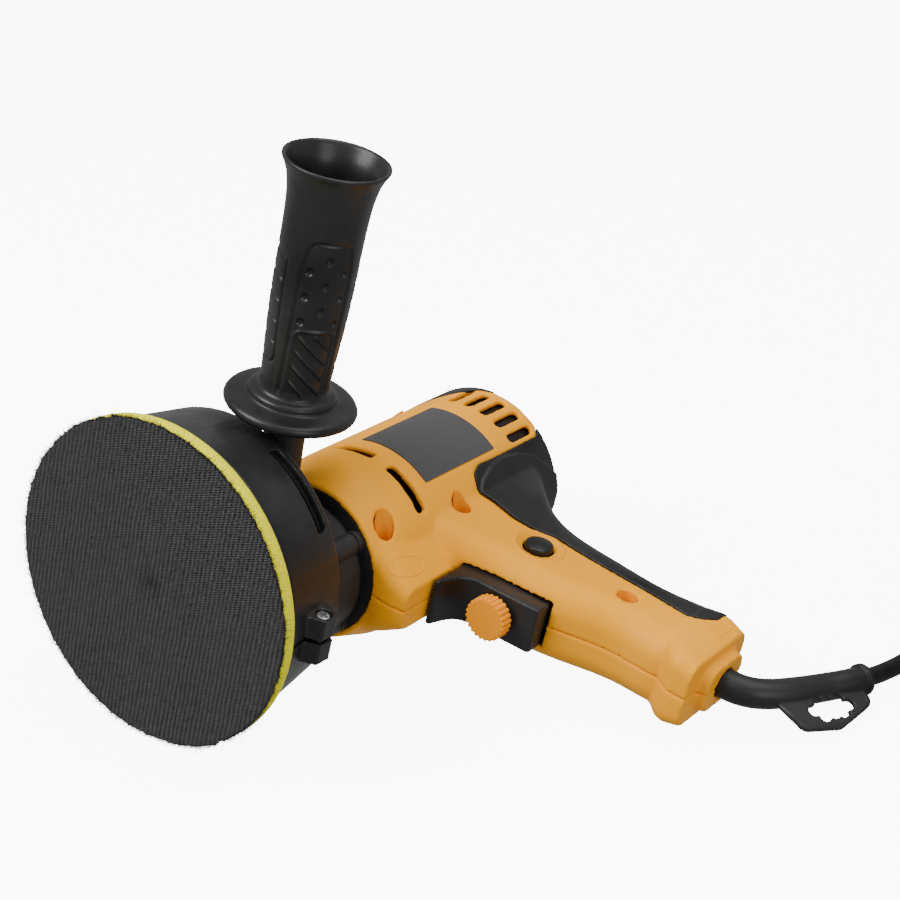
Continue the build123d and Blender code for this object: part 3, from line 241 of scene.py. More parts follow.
class Finish:
    """A material under construction: its shader, and short ways to add nodes."""

    def __init__(self, name, roughness=0.5, metallic=0.0, **settings):
        self.made = bpy.data.materials.new(name)
        self.made.use_nodes = True
        self.tree = self.made.node_tree
        self.shader = self.tree.nodes["Principled BSDF"]
        self.shader.inputs["Roughness"].default_value = roughness
        self.shader.inputs["Metallic"].default_value = metallic
        for socket, value in settings.items():
            self.shader.inputs[socket.replace("_", " ")].default_value = value
        self.place = self.add("ShaderNodeTexCoord").outputs["Object"]

    def add(self, kind, inputs=(), **settings):
        node = self.tree.nodes.new(kind)
        for name, value in settings.items():
            setattr(node, name, value)
        for socket, value in dict(inputs).items():
            if isinstance(value, bpy.types.NodeSocket):
                self.tree.links.new(value, node.inputs[socket])
            else:
                node.inputs[socket].default_value = value
        return node

    def noise(self, size, detail=3.0):
        """Soft noise whose lumps are about size millimetres across."""
        inputs = {"Vector": self.place, "Scale": 1 / (size * MM), "Detail": detail}
        return self.add("ShaderNodeTexNoise", inputs).outputs["Fac"]

    def cells(self, size):
        """The distance to the middle of cells about size millimetres across."""
        inputs = {"Vector": self.place, "Scale": 1 / (size * MM)}
        return self.add("ShaderNodeTexVoronoi", inputs, feature="F1").outputs["Distance"]

    def ramp(self, value, *stops):
        """Colours between stops of (place, colour)."""
        node = self.add("ShaderNodeValToRGB", {"Fac": value})
        elements = node.color_ramp.elements
        while len(elements) < len(stops):
            elements.new(0.5)
        for element, (place, colour) in zip(elements, stops):
            element.position = place
            element.color = (*colour, 1)
        return node.outputs["Color"]

    def grey(self, value, low, high, start=0.3, end=0.7):
        """A number that goes from low to high as value goes from start to end."""
        inputs = {"Value": value, "From Min": start, "From Max": end, "To Min": low, "To Max": high}
        return self.add("ShaderNodeMapRange", inputs).outputs["Result"]

    def sum(self, first, second, share=1.0):
        """The first value and a share of the second."""
        scaled = self.add("ShaderNodeMath", {0: second, 1: share}, operation="MULTIPLY").outputs[0]
        return self.add("ShaderNodeMath", {0: first, 1: scaled}, operation="ADD").outputs[0]

    def to(self, socket, value):
        self.tree.links.new(value, self.shader.inputs[socket])
        return self

    def bump(self, height, depth, strength=1.0):
        """Raises the surface by up to depth millimetres where height is 1."""
        inputs = {"Height": height, "Distance": depth * MM, "Strength": strength}
        self.to("Normal", self.add("ShaderNodeBump", inputs).outputs["Normal"])
        return self


def mixed(colour, other, share):
    """A colour that has gone a share of the way to another."""
    return tuple(a + (b - a) * share for a, b in zip(colour, other))


def moulded(name, colour, roughness, texture=0.35, depth=0.02, shine=0.2, wear=0.06):
    """Moulded plastic: a fine sparked texture, soft colour drift, and a slightly worn sheen."""
    finish = Finish(name, roughness, Specular_IOR_Level=shine)
    drift = finish.noise(38, 4)
    dark, light = mixed(colour, (0, 0, 0), wear), mixed(colour, (1, 1, 1), wear * 0.35)
    finish.to("Base Color", finish.ramp(drift, (0.32, dark), (0.68, light)))
    smudge = finish.sum(finish.noise(9, 5), finish.noise(1.6, 3), 0.5)
    finish.to("Roughness", finish.grey(smudge, roughness - 0.06, roughness + 0.08, 0.5, 1.0))
    spark = finish.sum(finish.noise(texture, 2), finish.noise(texture * 3.1, 3), 0.6)
    return finish.bump(spark, depth).made


def machined(name, colour, roughness, depth=0.01):
    """Bare metal with fine turned marks and a few darker spots."""
    finish = Finish(name, roughness, 1.0)
    spots = finish.noise(2.5, 5)
    finish.to("Base Color", finish.ramp(spots, (0.35, mixed(colour, (0, 0, 0), 0.25)), (0.6, colour)))
    finish.to("Roughness", finish.grey(finish.noise(0.8, 4), roughness - 0.08, roughness + 0.12))
    marks = finish.add("ShaderNodeTexWave", {"Vector": finish.place, "Scale": 1500.0, "Distortion": 2.0})
    return finish.bump(marks.outputs["Fac"], depth, 0.5).made


def wound_wire(name, colour, pitch):
    """Lacquered wire wound side by side, with painted shade in the grooves between the turns."""
    finish = Finish(name, 0.3, 0.7, Coat_Weight=0.5, Coat_Roughness=0.2)
    inputs = {"Vector": finish.place, "Scale": 0.31 / (pitch * MM), "Distortion": 1.0}
    turns = finish.add("ShaderNodeTexWave", inputs).outputs["Fac"]
    finish.to("Base Color", finish.ramp(turns, (0.1, mixed(colour, (0, 0, 0), 0.6)), (0.7, colour)))
    return finish.bump(turns, 0.2).made


def tool_place(finish):
    """The place of a point in tool axes, in metres, so that patterns can follow the tool."""
    moved = finish.add("ShaderNodeVectorMath", {0: finish.place, 1: PAD_CENTRE}, operation="SUBTRACT")
    axes = (TOOL_X, TOOL_Y, TOOL_Z)
    parts = [
        finish.add("ShaderNodeVectorMath", {0: moved.outputs[0], 1: axis}, operation="DOT_PRODUCT")
        for axis in axes
    ]
    inputs = {name: part.outputs["Value"] for name, part in zip("XYZ", parts)}
    return finish.add("ShaderNodeCombineXYZ", inputs).outputs[0]


HOOK_COLUMN = 1.9 * MM
HOOK_ROW = 1.0 * MM


def hook_tape():
    """Black hook tape: columns of slanted loops that lean to and fro, with loose fuzz."""
    finish = Finish("hook_tape", 0.9, Sheen_Weight=0.03, Sheen_Roughness=0.5, Specular_IOR_Level=0.12)
    place = tool_place(finish)
    parts = finish.add("ShaderNodeSeparateXYZ", {0: place})
    wander = finish.grey(finish.noise(7, 2), -0.25 * MM, 0.25 * MM)
    across = finish.sum(parts.outputs["X"], wander)
    column = 2 * math.pi / HOOK_COLUMN
    row = 2 * math.pi / HOOK_ROW
    lean = finish.add("ShaderNodeMath", {0: across, 1: column}, operation="MULTIPLY").outputs[0]
    ribs = finish.add("ShaderNodeMath", {0: lean}, operation="SINE").outputs[0]
    along = finish.add("ShaderNodeMath", {0: parts.outputs["Z"], 1: row}, operation="MULTIPLY").outputs[0]
    zigzag = finish.sum(along, ribs, 2.6)
    loops = finish.add("ShaderNodeMath", {0: zigzag}, operation="SINE").outputs[0]
    fuzz = finish.sum(finish.noise(0.35, 4), finish.noise(1.1, 3), 0.8)
    height = finish.sum(finish.sum(fuzz, loops, 0.34), ribs, 0.2)
    # Painted light: the base colour follows the height, so the hollows between the loops get painted shade and
    # their tops a painted highlight.
    finish.to("Base Color", finish.ramp(
        height, (0.3, (0.001, 0.001, 0.0013)), (0.75, (0.018, 0.018, 0.019)), (1.0, (0.11, 0.11, 0.113)),
    ))
    return finish.bump(height, 0.7).made


def open_foam():
    """Yellow foam: small open cells, with painted shade darkening their holes."""
    finish = Finish("open_foam", 0.9, Subsurface_Weight=0.15, Subsurface_Scale=0.002, Specular_IOR_Level=0.1)
    holes = finish.sum(finish.cells(0.75), finish.noise(0.4, 3), 0.4)
    colours = [(0.15, (0.45, 0.36, 0.0)), (0.42, (0.95, 0.86, 0.0)), (0.9, (1.0, 0.95, 0.02))]
    finish.to("Base Color", finish.ramp(holes, *colours))
    return finish.bump(holes, 0.35).made


def label_film():
    """A satin grey film, a little lighter towards one side."""
    finish = Finish("label_film", 0.36, Specular_IOR_Level=0.3)
    parts = finish.add("ShaderNodeSeparateXYZ", {0: tool_place(finish)})
    fade = finish.grey(finish.sum(parts.outputs["X"], parts.outputs["Y"], 0.4), 0.0, 1.0, 0.03, 0.11)
    tint = finish.sum(fade, finish.noise(0.5, 2), 0.12)
    finish.to("Base Color", finish.ramp(tint, (0.0, (0.030, 0.030, 0.031)), (1.0, (0.075, 0.075, 0.077))))
    finish.to("Roughness", finish.grey(finish.noise(6, 4), 0.3, 0.42))
    return finish.bump(finish.noise(0.25, 2), 0.006).made


YELLOW = (1.0, 0.40, 0.0)
DIAL_YELLOW = (1.0, 0.34, 0.0)
PLASTIC_BLACK = (0.0060, 0.0060, 0.0063)
RUBBER_BLACK = (0.0060, 0.0060, 0.0064)
TRIGGER_BLACK = (0.0080, 0.0078, 0.0080)
CASE_BLACK = (0.008, 0.008, 0.0085)
CORD_BLACK = (0.0018, 0.0018, 0.0020)
WIRE_RED = (0.35, 0.06, 0.04)
CARBON_GREY = (0.03, 0.03, 0.03)
FINISHES = {
    "yellow_plastic": moulded(
        "yellow_plastic", YELLOW, 0.42, texture=0.45, depth=0.012, shine=0.12, wear=0.03,
    ),
    "yellow_dial": moulded("yellow_dial", DIAL_YELLOW, 0.40, texture=0.4, depth=0.012, shine=0.12, wear=0.03),
    "black_plastic": moulded("black_plastic", PLASTIC_BLACK, 0.32, texture=0.4, depth=0.016, shine=0.32),
    "black_rubber": moulded("black_rubber", RUBBER_BLACK, 0.38, texture=0.3, depth=0.016, shine=0.26),
    "grey_plastic": moulded("grey_plastic", TRIGGER_BLACK, 0.3, texture=0.5, depth=0.003, shine=0.3),
    "case_metal": moulded("case_metal", CASE_BLACK, 0.45, texture=0.6, depth=0.05, shine=0.3),
    "cord_rubber": moulded("cord_rubber", CORD_BLACK, 0.34, texture=0.5, depth=0.006, shine=0.1),
    "wire_sleeve": moulded("wire_sleeve", WIRE_RED, 0.4),
    "carbon": moulded("carbon", CARBON_GREY, 0.6, texture=0.3, depth=0.03),
    "plain_steel": machined("plain_steel", (0.60, 0.60, 0.61), 0.28),
    "core_steel": machined("core_steel", (0.16, 0.16, 0.18), 0.45),
    "brass_parts": machined("brass_parts", (0.78, 0.58, 0.26), 0.3),
    "pin_brass": machined("pin_brass", (0.78, 0.75, 0.66), 0.24),
    "copper": wound_wire("copper", (0.72, 0.33, 0.16), pitch=0.7),
    "hook_loop": hook_tape(),
    "pad_foam": open_foam(),
    "label_grey": label_film(),
}
NODE_SLOTS = {part["node"]: part["material_slot"] for part in frame["record"]["subparts"]}
for node, slot in NODE_SLOTS.items():
    painted(node, FINISHES[slot])
painted(power_cord, FINISHES["cord_rubber"])

# ------------------------------------------------------------------ pad

PAD_RADIUS = 62.5
TAPE_THICKNESS = 1.1
FOAM_START = TAPE_THICKNESS + 0.3
FOAM_END = 7.8
PINHOLE = 0.05  # the radius where a disc's rings stop at its middle
EDGE_POINTS = 360
FRINGE_SEED = 11
EDGE_HOOKS = 4200
FACE_HOOKS = 2200
HOOK_RADIUS = 0.085


def pad_edge(angle):
    """How far the tape's cut edge wanders in and out."""
    place = Vector((math.cos(angle), math.sin(angle), 0))
    slow, quick, fine = (noise.noise(place * often) for often in (2.2, 19, 47))
    return 0.5 * slow + 0.5 * quick + 0.3 * fine - 0.15


def disc_of(name, profile, wander=1.0, rise=None):
    """A round piece about the pad's axis from (radius, y) pairs. Its edge wanders in and out."""
    points = []
    for radius, y in profile:
        for step in range(EDGE_POINTS):
            angle = 2 * math.pi * step / EDGE_POINTS
            here = radius + wander * pad_edge(angle) * smoothstep(50, 62, radius)
            lift = rise(here * math.cos(angle), here * math.sin(angle)) if rise else 0
            points.append((here * math.cos(angle), y + lift, here * math.sin(angle)))
    faces = grid_faces(len(profile), EDGE_POINTS)
    faces.append(tuple(range(EDGE_POINTS)))
    last = (len(profile) - 1) * EDGE_POINTS
    faces.append(tuple(last + step for step in reversed(range(EDGE_POINTS))))
    return surface(name, points, faces)


def tape_swell(x, z):
    """The tape follows the soft foam, so its face is a little uneven."""
    return 0.22 * noise.noise(Vector((x, z, 0)) / 26)


def make_tape():
    radii = [PINHOLE, 8, 16, 24, 32, 40, 47, 53, 57.5, 60.5, 61.8]
    profile = [(radius, 0.28) for radius in radii]
    profile += [(PAD_RADIUS - 0.1, 0.45), (PAD_RADIUS + 0.1, 0.75), (PAD_RADIUS, TAPE_THICKNESS)]
    profile += [(radius, TAPE_THICKNESS) for radius in (58, 30, PINHOLE)]
    return disc_of("hook_face_tape", profile, rise=tape_swell)


def make_foam():
    profile = [(PINHOLE, FOAM_START), (60, FOAM_START), (PAD_RADIUS - 0.6, FOAM_START)]
    for step in range(1, 10):
        share = step / 10
        bulge = 0.45 * math.sin(math.pi * share)
        profile.append((PAD_RADIUS - 0.45 + bulge, FOAM_START + share * (FOAM_END - TAPE_THICKNESS - 0.9)))
    profile += [(PAD_RADIUS - 1.1, FOAM_END - 0.2), (PAD_RADIUS - 2.2, FOAM_END)]
    profile += [(30, FOAM_END), (PINHOLE, FOAM_END)]
    return disc_of("foam_pad", profile, wander=0.2)


def strand(points, radius, corners=3):
    """The points and faces of a thin thread through points."""
    made, faces = [], []
    for index, point in enumerate(points):
        way = (points[min(index + 1, len(points) - 1)] - points[max(index - 1, 0)]).normalized()
        side = way.orthogonal().normalized()
        other = way.cross(side)
        thin = radius * (1 - 0.5 * index / len(points))
        for corner in range(corners):
            angle = 2 * math.pi * corner / corners
            made.append(point + (side * math.cos(angle) + other * math.sin(angle)) * thin)
    faces = grid_faces(len(points), corners)
    return made, faces


def tube(name, places, radius, closed=False, corners=10):
    """A round bead through places in the row frame, in metres."""
    points = []
    side = Vector((0.3, 0.2, 1))
    count = len(places)
    for index, place in enumerate(places):
        after = places[(index + 1) % count] if closed else places[min(index + 1, count - 1)]
        before = places[index - 1] if closed else places[max(index - 1, 0)]
        way = (after - before).normalized()
        side = (side - way * side.dot(way)).normalized()
        other = way.cross(side)
        for corner in range(corners):
            angle = 2 * math.pi * corner / corners
            points.append(place + (side * math.cos(angle) + other * math.sin(angle)) * radius)
    faces = grid_faces(count, corners, closed)
    if not closed:
        faces.append(tuple(reversed(range(corners))))
        faces.append(tuple(range(len(points) - corners, len(points))))
    return surface(name, points, faces, place=Matrix())


def threads(name, lines, radius):
    """One mesh of many thin threads."""
    points, faces = [], []
    for line in lines:
        made, own = strand(line, radius)
        faces += [tuple(corner + len(points) for corner in face) for face in own]
        points += made
    return surface(name, points, faces)


def make_fringe():
    """Cut hooks that stand out round the tape's edge, and a few that stand up on its face."""
    dice = random.Random(FRINGE_SEED)
    lines = []
    for _ in range(EDGE_HOOKS):
        angle = dice.uniform(0, 2 * math.pi)
        out = Vector((math.cos(angle), 0, math.sin(angle)))
        round_way = Vector((-math.sin(angle), 0, math.cos(angle)))
        start = out * (PAD_RADIUS + pad_edge(angle) - 0.2) + Vector((0, dice.uniform(0.3, 1.1), 0))
        way = out + round_way * dice.gauss(0, 0.7) + Vector((0, dice.gauss(-0.35, 0.5), 0))
        bend = Vector((dice.gauss(0, 0.5), dice.gauss(0, 0.5), dice.gauss(0, 0.5)))
        length = dice.uniform(0.4, 1.1) if dice.random() < 0.9 else dice.uniform(1.1, 2.0)
        shares = (0, 0.35, 0.7, 1)
        lines.append([start + way * length * share + bend * length * share * share for share in shares])
    for _ in range(FACE_HOOKS):
        radius = PAD_RADIUS * math.sqrt(dice.random()) * 0.995
        angle = dice.uniform(0, 2 * math.pi)
        start = Vector((radius * math.cos(angle), 0.3, radius * math.sin(angle)))
        way = Vector((dice.gauss(0, 0.7), -dice.uniform(0.2, 0.7), dice.gauss(0, 0.7)))
        bend = Vector((dice.gauss(0, 0.4), 0.1, dice.gauss(0, 0.4)))
        lines.append([start + way * share + bend * share * share for share in (0, 0.5, 1)])
    return threads("hook_fringe", lines, HOOK_RADIUS)


painted(shown("hook_face_tape", make_tape(), "pad", "hook_loop", "hook_face"), FINISHES["hook_loop"])
foam = painted(shown("foam_pad", make_foam(), "pad", "pad_foam", "pad_foam"), FINISHES["pad_foam"])
painted(shown("hook_fringe", make_fringe(), "pad", "hook_loop"), FINISHES["hook_loop"])

# ------------------------------------------------------------------ side handle

SIDE_X = 7.75
SIDE_Y = 54.75
HANDLE_FACES = 322.0  # the front panel's direction about the handle's axis, in degrees from +X
FLANGE = [
    (4.05, 59.6), (10.9, 59.5), (11.6, 60.4), (21.9, 60.4), (23.6, 60.7), (24.6, 61.8), (24.6, 63.0),
    (23.7, 64.2), (21.8, 64.7), (17.6, 65.2), (16.4, 65.9), (16.3, 67.2), (15.2, 68.2), (13.4, 68.9),
    (12.8, 70.4),
]
GRIP = [(12.75, 72.0), (13.4, 84.0), (14.2, 98.0), (14.6, 112.0), (14.8, 132.0), (15.4, 143.5), (16.7, 151.0)]
CUP = [
    (18.3, 154.9), (19.25, 156.5), (19.2, 157.1), (18.6, 157.4), (17.9, 157.0), (17.2, 155.9), (14.6, 150.6),
    (13.0, 142.0), (12.3, 128.0), (11.8, 105.0), (11.2, 84.5), (10.4, 82.5), (8.5, 82.0), (4.05, 82.0),
]


def smooth_line(points, step):
    """Points about step apart on a smooth line through points."""
    line = []
    ends = [points[0], *points, points[-1]]
    for a, b, c, d in zip(ends, ends[1:], ends[2:], ends[3:]):
        count = max(1, round(math.dist(b, c) / step))
        for part in range(count):
            t = part / count
            line.append(tuple(
                0.5 * (
                    2 * q + (r - p) * t + (2 * p - 5 * q + 4 * r - s) * t * t
                    + (3 * q - p - 3 * r + s) * t ** 3
                )
                for p, q, r, s in zip(a, b, c, d)
            ))
    return [*line, points[-1]]


def rounded_box(x, y, half_x, half_y, corner):
    """How far (x, y) is outside a box with round corners. Inside it's negative."""
    over_x, over_y = abs(x) - half_x + corner, abs(y) - half_y + corner
    return math.hypot(max(over_x, 0), max(over_y, 0)) + min(max(over_x, over_y), 0) - corner


def hexagon(x, y, radius):
    """How far (x, y) is outside a hexagon that stands on a corner."""
    return max(abs(x), abs(x) / 2 + abs(y) * math.sqrt(3) / 2) - radius


def groove(distance, half_width):
    """A soft-sided groove's depth, from 0 to 1, at a distance from its middle."""
    return math.exp(-(distance / half_width) ** 2)


DIMPLE_ROWS = (103.0, 112.8, 122.4)
DIMPLE_COLUMNS = ((-25.5, -2.2), (0.0, 2.7), (25.5, -2.1))  # direction, and shift along the grip
GRIP_COLUMNS = 336


def grip_relief(angle, z, radius):
    """The grip's moulded pattern: how far its skin stands out, in mm."""
    turned = (angle - HANDLE_FACES + 90) % 180 - 90
    across = math.radians(turned) * radius
    out = 0.0
    front = rounded_box(across, z - 99, 9.6 - 1.4 * smoothstep(118, 130, z), 32.5, 4.5)
    out -= 0.75 * groove(front, 0.5) + 0.35 * (1 - smoothstep(-0.6, 0.1, front))
    for column, shift in DIMPLE_COLUMNS:
        for row in DIMPLE_ROWS:
            inside = hexagon(math.radians(turned - column) * radius, z - row - shift, 1.45)
            out -= 0.9 * (1 - smoothstep(-0.6, 0.2, inside))
    low = rounded_box(across, z - 83.5, 7.6, 14.0, 3.0)
    out += 0.75 * groove(low - 0.1, 0.55)
    if low < -0.8:
        slant = (z + 0.9 * across) % 6.2 - 3.1
        out += 0.8 * groove(slant, 0.5) * smoothstep(0.8, 2.0, -low)
    side = 90 - abs(turned)
    beside = math.radians(side) * radius
    panel = rounded_box(beside, z - 102, 7.2, 21.5, 4.0)
    out -= 0.75 * groove(panel, 0.5)
    if panel < -0.5:
        rib = (z - 102 + 0.045 * (beside - 3) ** 2) % 8.2 - 4.1
        out -= 0.9 * groove(rib, 0.6) * smoothstep(0.5, 1.4, -panel)
    return out


def make_side_handle():
    flange, grip, cup = smooth_line(FLANGE, 0.8), smooth_line(GRIP, 0.42), smooth_line(CUP, 0.9)
    outline = flange + grip + cup
    grip_rows = range(len(flange), len(flange) + len(grip))
    points = []
    for row, (radius, z) in enumerate(outline):
        for column in range(GRIP_COLUMNS):
            angle = 360 * column / GRIP_COLUMNS
            here = radius + (grip_relief(angle, z, radius) if row in grip_rows else 0)
            turn = math.radians(angle)
            points.append((SIDE_X + here * math.cos(turn), SIDE_Y + here * math.sin(turn), z))
    return surface("side_handle_grip", points, grid_faces(len(outline), GRIP_COLUMNS, closed=True))


side_handle = shown("side_handle_grip", make_side_handle(), "tool", "black_plastic", "side_handle")
painted(side_handle, FINISHES["black_plastic"])

# ------------------------------------------------------------------ housing

MOTOR_X = 24.8
PATCH_HEIGHT = 1.1
PATCH_EDGE = [
    (126.0, 52.0), (130.0, 45.0), (138.0, 40.0), (147.0, 38.0), (157.0, 40.5), (166.0, 46.0), (177.0, 63.0),
]
MOULDINGS = [  # node, body, slot, voxel in mm, smoothing passes
    ("housing_left", "tool", "yellow_plastic", 0.7, 7), ("housing_right", "tool", "yellow_plastic", 0.7, 7),
    ("overmould_left", "tool", "black_rubber", 0.5, 5), ("overmould_right", "tool", "black_rubber", 0.5, 5),
    ("trigger", "trigger", "grey_plastic", 0.4, 6), ("gear_case", "tool", "case_metal", 0.6, 3),
    ("strain_relief", "tool", "black_rubber", 0.35, 4), ("guard_band", "tool", "black_plastic", 0.5, 2),
]
mouldings = {}
for node, body, slot, voxel, passes in MOULDINGS:
    mouldings[node] = painted(softened(f"{node}_moulding", node, body, slot, voxel, passes), FINISHES[slot])


def patch_start(y):
    """Where the raised grip patch starts at a place along the barrel, in degrees from +Z."""
    for (y_a, angle_a), (y_b, angle_b) in zip(PATCH_EDGE, PATCH_EDGE[1:]):
        if y_a <= y <= y_b:
            return angle_a + (angle_b - angle_a) * (y - y_a) / (y_b - y_a)
    return 180.0


def raise_patch(piece):
    """Swells the soft skin beside the handle into a patch with a curved edge."""
    back = TOOL.inverted()
    for vertex in piece.data.vertices:
        place = back @ vertex.co
        angle = math.degrees(math.atan2(place.x - MOTOR_X, abs(place.z)))
        radius = math.hypot(place.x - MOTOR_X, place.z)
        if radius > 34.5 and angle > 30:
            swell = smoothstep(0, 2.5, angle - patch_start(place.y)) * (1 - smoothstep(74, 90, angle))
            out = Vector((place.x - MOTOR_X, 0, place.z)).normalized()
            vertex.co = TOOL @ (place + out * PATCH_HEIGHT * swell * smoothstep(34.5, 36, radius))


raise_patch(mouldings["overmould_left"])
raise_patch(mouldings["overmould_right"])


def ray_tree(piece):
    """A search tree that finds where rays meet a piece."""
    mesh = piece.data
    return BVHTree.FromPolygons([v.co for v in mesh.vertices], [p.vertices for p in mesh.polygons])


def line_on(name, piece, outline, way, lift, radius):
    """A moulded yellow line: a thin closed bead laid on a piece, where rays along way meet it."""
    tree = ray_tree(piece)
    cast = (TURN @ Vector(way)).normalized()
    places = []
    for point in outline:
        place, normal, _, _ = tree.ray_cast(TOOL @ Vector(point) - cast * 0.04, cast)
        if place is not None:
            places.append(place + normal * lift * MM)
    bead = shown(name, tube(name, places, radius * MM, closed=True), "tool", "yellow_plastic")
    return painted(bead, FINISHES["yellow_plastic"])


def ellipse(centre, across, along, count=72):
    """Points round an ellipse with two given half axes."""
    angles = [2 * math.pi * step / count for step in range(count)]
    return [Vector(centre) + across * math.cos(angle) + along * math.sin(angle) for angle in angles]


def box_outline(centre, half_x, half_y, corner=0.8):
    """A rectangle with round corners in tool axes, seen along Z."""
    outline = []
    for sign_x, sign_y, start in [(1, 1, 0), (-1, 1, 90), (-1, -1, 180), (1, -1, 270)]:
        for turn in range(start, start + 91, 18):
            x = sign_x * (half_x - corner) + corner * math.cos(math.radians(turn))
            y = sign_y * (half_y - corner) + corner * math.sin(math.radians(turn))
            outline.append(Vector(centre) + Vector((x, y, 0)))
    return outline


def make_vent_bead(along, reach, thickness):
    """A dark bead round the inside of the tail, so that no light crosses from one vent to the next."""
    ring = ellipse((MOTOR_X, along, 0), Vector((reach, 0, 0)), Vector((0, 0, reach)), 180)
    bead = tube("vent_bead", [TOOL @ place for place in ring], thickness * MM, closed=True)
    return painted(shown("vent_bead", bead, "tool", "black_plastic"), FINISHES["black_plastic"])


make_vent_bead(along=175.7, reach=33.4, thickness=0.6)

SCREW_PLACES = [(47.5, 71.5), (54.6, 112.5), (127.5, 121.7), (-5.0, 78.0), (-5.2, 147.0)]
RECESS_RADIUS = 3.45
RECESS_FLOOR = 4.4
RECESS_SINK = 0.5  # how far below the skin a liner's upper edge lies
RECESS_COLUMNS = 40
SKIN_SEARCH = 5.2  # how far beside a recess the skin's level is found


def make_recesses(piece):
    """Smooth walls and floors for the screw recesses, from just under the skin down to the screw."""
    tree = ray_tree(piece)
    down = (TURN @ Vector((0, 0, -1))).normalized()
    turns = [2 * math.pi * column / RECESS_COLUMNS for column in range(RECESS_COLUMNS)]
    points, faces = [], []
    for x, y in SCREW_PLACES:
        tops = []
        for angle in turns:
            start = TOOL @ Vector((x + SKIN_SEARCH * math.cos(angle), y + SKIN_SEARCH * math.sin(angle), 60))
            place = tree.ray_cast(start, down)[0]
            tops.append((TOOL.inverted() @ place).z - RECESS_SINK if place else 12.0)
        first = len(points)
        for share in (1.0, 0.66, 0.33, 0.06, 0.0):
            radius = RECESS_RADIUS * (1 + 0.06 * share) - (0.5 if share == 0 else 0)
            for angle, top in zip(turns, tops):
                level = RECESS_FLOOR + (top - RECESS_FLOOR) * share
                points.append((x + radius * math.cos(angle), y + radius * math.sin(angle), level))
        faces += [tuple(first + corner for corner in face) for face in grid_faces(5, RECESS_COLUMNS)]
        faces.append(tuple(first + 4 * RECESS_COLUMNS + column for column in range(RECESS_COLUMNS)))
    return surface("screw_recesses", points, faces)


recesses = shown("screw_recesses", make_recesses(mouldings["housing_left"]), "tool", "yellow_plastic")
painted(recesses, FINISHES["yellow_plastic"])

TOWARDS_VIEW = CAMERA_RIGHT.cross(CAMERA_UP).normalized()
BADGE = (61.5, 70.5, 13.8)
BUTTON = (87.5, 120.0, 18.0)
END_MARK = (161.7, 132.6, 15.2)
left_half = mouldings["housing_left"]
badge = ellipse(BADGE, CAMERA_RIGHT * 6.6, CAMERA_UP * 3.7)
line_on("badge_rim", left_half, badge, -TOWARDS_VIEW, lift=-0.22, radius=0.42)
ring = ellipse(BUTTON, Vector((9.6, 0, 0)), Vector((0, 9.6, 0)))
line_on("button_rim", left_half, ring, (0, 0, -1), lift=-0.8, radius=1.25)
mark = box_outline(END_MARK, 2.3, 6.1)
line_on("end_mark", left_half, mark, (0, 0, -1), lift=-0.2, radius=0.36)

# ------------------------------------------------------------------ key-holder tab

# The tab's plane and outline are part.py's, from the point on the floor below the pad's centre.
TAB_AT = Vector((188.9, 135.0, 12.0))
TAB_ALONG = Vector((0.487, 0.864, -0.128))
TAB_ACROSS = Vector((0.76, -0.49, -0.43))
TAB_OUTLINE = [(-8.0, 2.0), (-1.6, 16.4), (13.4, 18.3), (31.2, 10.6), (27.0, 2.0)]
TAB_CORNER = 5.0
TAB_RIM = 1.3


def cornered(points, radius, steps=6):
    """A line through points with round corners."""
    places = [Vector(point) for point in points]
    line = [places[0]]
    for before, here, after in zip(places, places[1:], places[2:]):
        start = here + (before - here).normalized() * radius
        end = here + (after - here).normalized() * radius
        for step in range(steps + 1):
            share = step / steps
            line.append(start.lerp(here, share).lerp(here.lerp(end, share), share))
    return [*line, places[-1]]


def make_tab_rim():
    places = [
        FLOOR_POINT + (TAB_AT + TAB_ALONG * place.x + TAB_ACROSS * place.y) * MM
        for place in cornered(TAB_OUTLINE, TAB_CORNER)
    ]
    return tube("tab_rim", places, TAB_RIM * MM)


painted(shown("tab_rim", make_tab_rim(), "tool", "black_rubber"), FINISHES["black_rubber"])

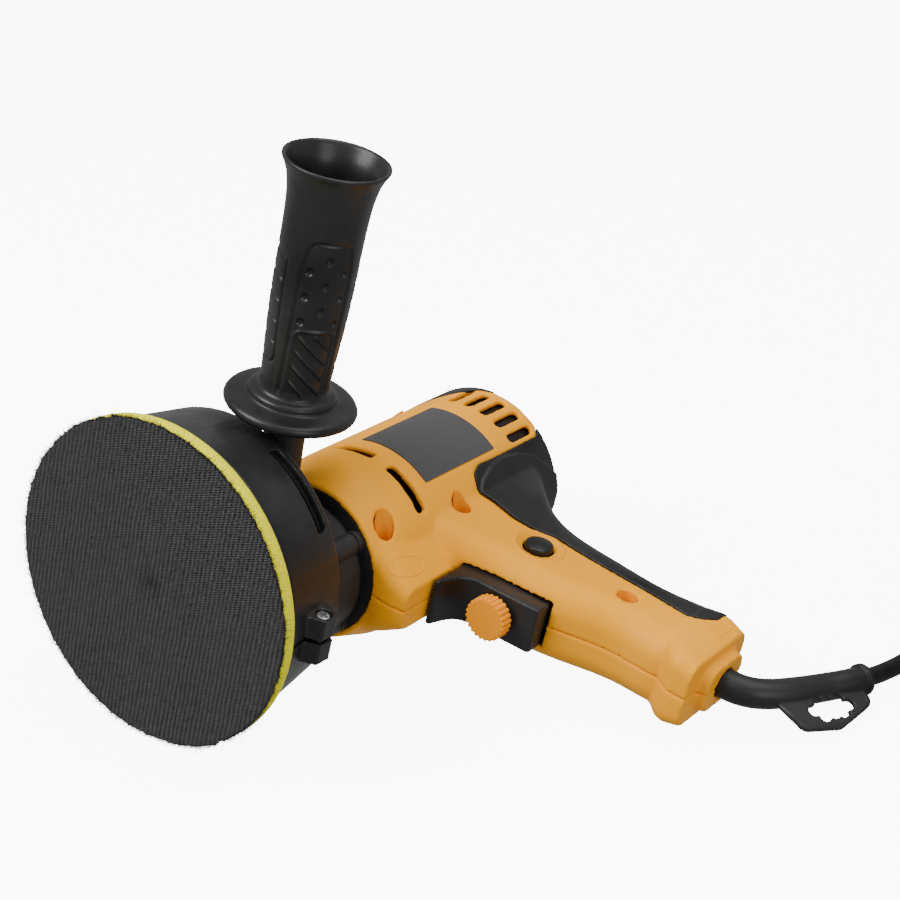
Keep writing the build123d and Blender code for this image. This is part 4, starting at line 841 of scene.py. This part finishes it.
# ------------------------------------------------------------------ studio

FLOOR_REACH = 30.0
FLOOR_GLOW = 9.0  # the sheet glows for the camera alone, so that the tool keeps its contrast
WORLD_STRENGTH = 0.42


def make_floor():
    corners = [(-1, -1, 0), (1, -1, 0), (1, 1, 0), (-1, 1, 0)]
    mesh = bpy.data.meshes.new("floor")
    mesh.from_pydata([Vector(corner) * FLOOR_REACH for corner in corners], [], [(0, 1, 2, 3)])
    floor = bpy.data.objects.new("floor", mesh)
    bpy.context.scene.collection.objects.link(floor)
    floor.visible_diffuse = False
    floor.visible_glossy = False
    paper = Finish("studio_paper", 0.8, Emission_Color=(1, 1, 1, 1), Emission_Strength=FLOOR_GLOW)
    stops = [(0.3, (0.90, 0.90, 0.90)), (0.7, (0.93, 0.93, 0.93))]
    paper.to("Base Color", paper.ramp(paper.noise(300, 2), *stops))
    painted(floor, paper.bump(paper.noise(0.8, 2), 0.02).made)


def softbox(name, place, aim, width, height, power):
    """A large soft light at a place in the row frame, in metres, aimed at another. Power is in watts."""
    light = bpy.data.lights.new(name, "AREA")
    light.shape = "RECTANGLE"
    light.size, light.size_y = width, height
    light.energy = power
    lamp = bpy.data.objects.new(name, light)
    start, end = Vector(place), Vector(aim)
    lamp.location = start
    lamp.rotation_mode = "QUATERNION"
    lamp.rotation_quaternion = (end - start).to_track_quat("-Z", "Y")
    bpy.context.scene.collection.objects.link(lamp)


make_floor()
softbox("key_light", place=(-0.55, -0.75, 1.25), aim=(0, 0, 0.05), width=0.9, height=0.9, power=24)
softbox("top_light", place=(0.25, 0.35, 1.4), aim=(0, 0, 0), width=1.2, height=0.8, power=11)
softbox("side_light", place=(1.2, -0.5, 0.6), aim=(0.05, 0, 0.05), width=0.7, height=0.9, power=6)
world = bpy.data.worlds.new("studio")
world.use_nodes = True
world.node_tree.nodes["Background"].inputs["Color"].default_value = (1, 1, 1, 1)
world.node_tree.nodes["Background"].inputs["Strength"].default_value = WORLD_STRENGTH
bpy.context.scene.world = world
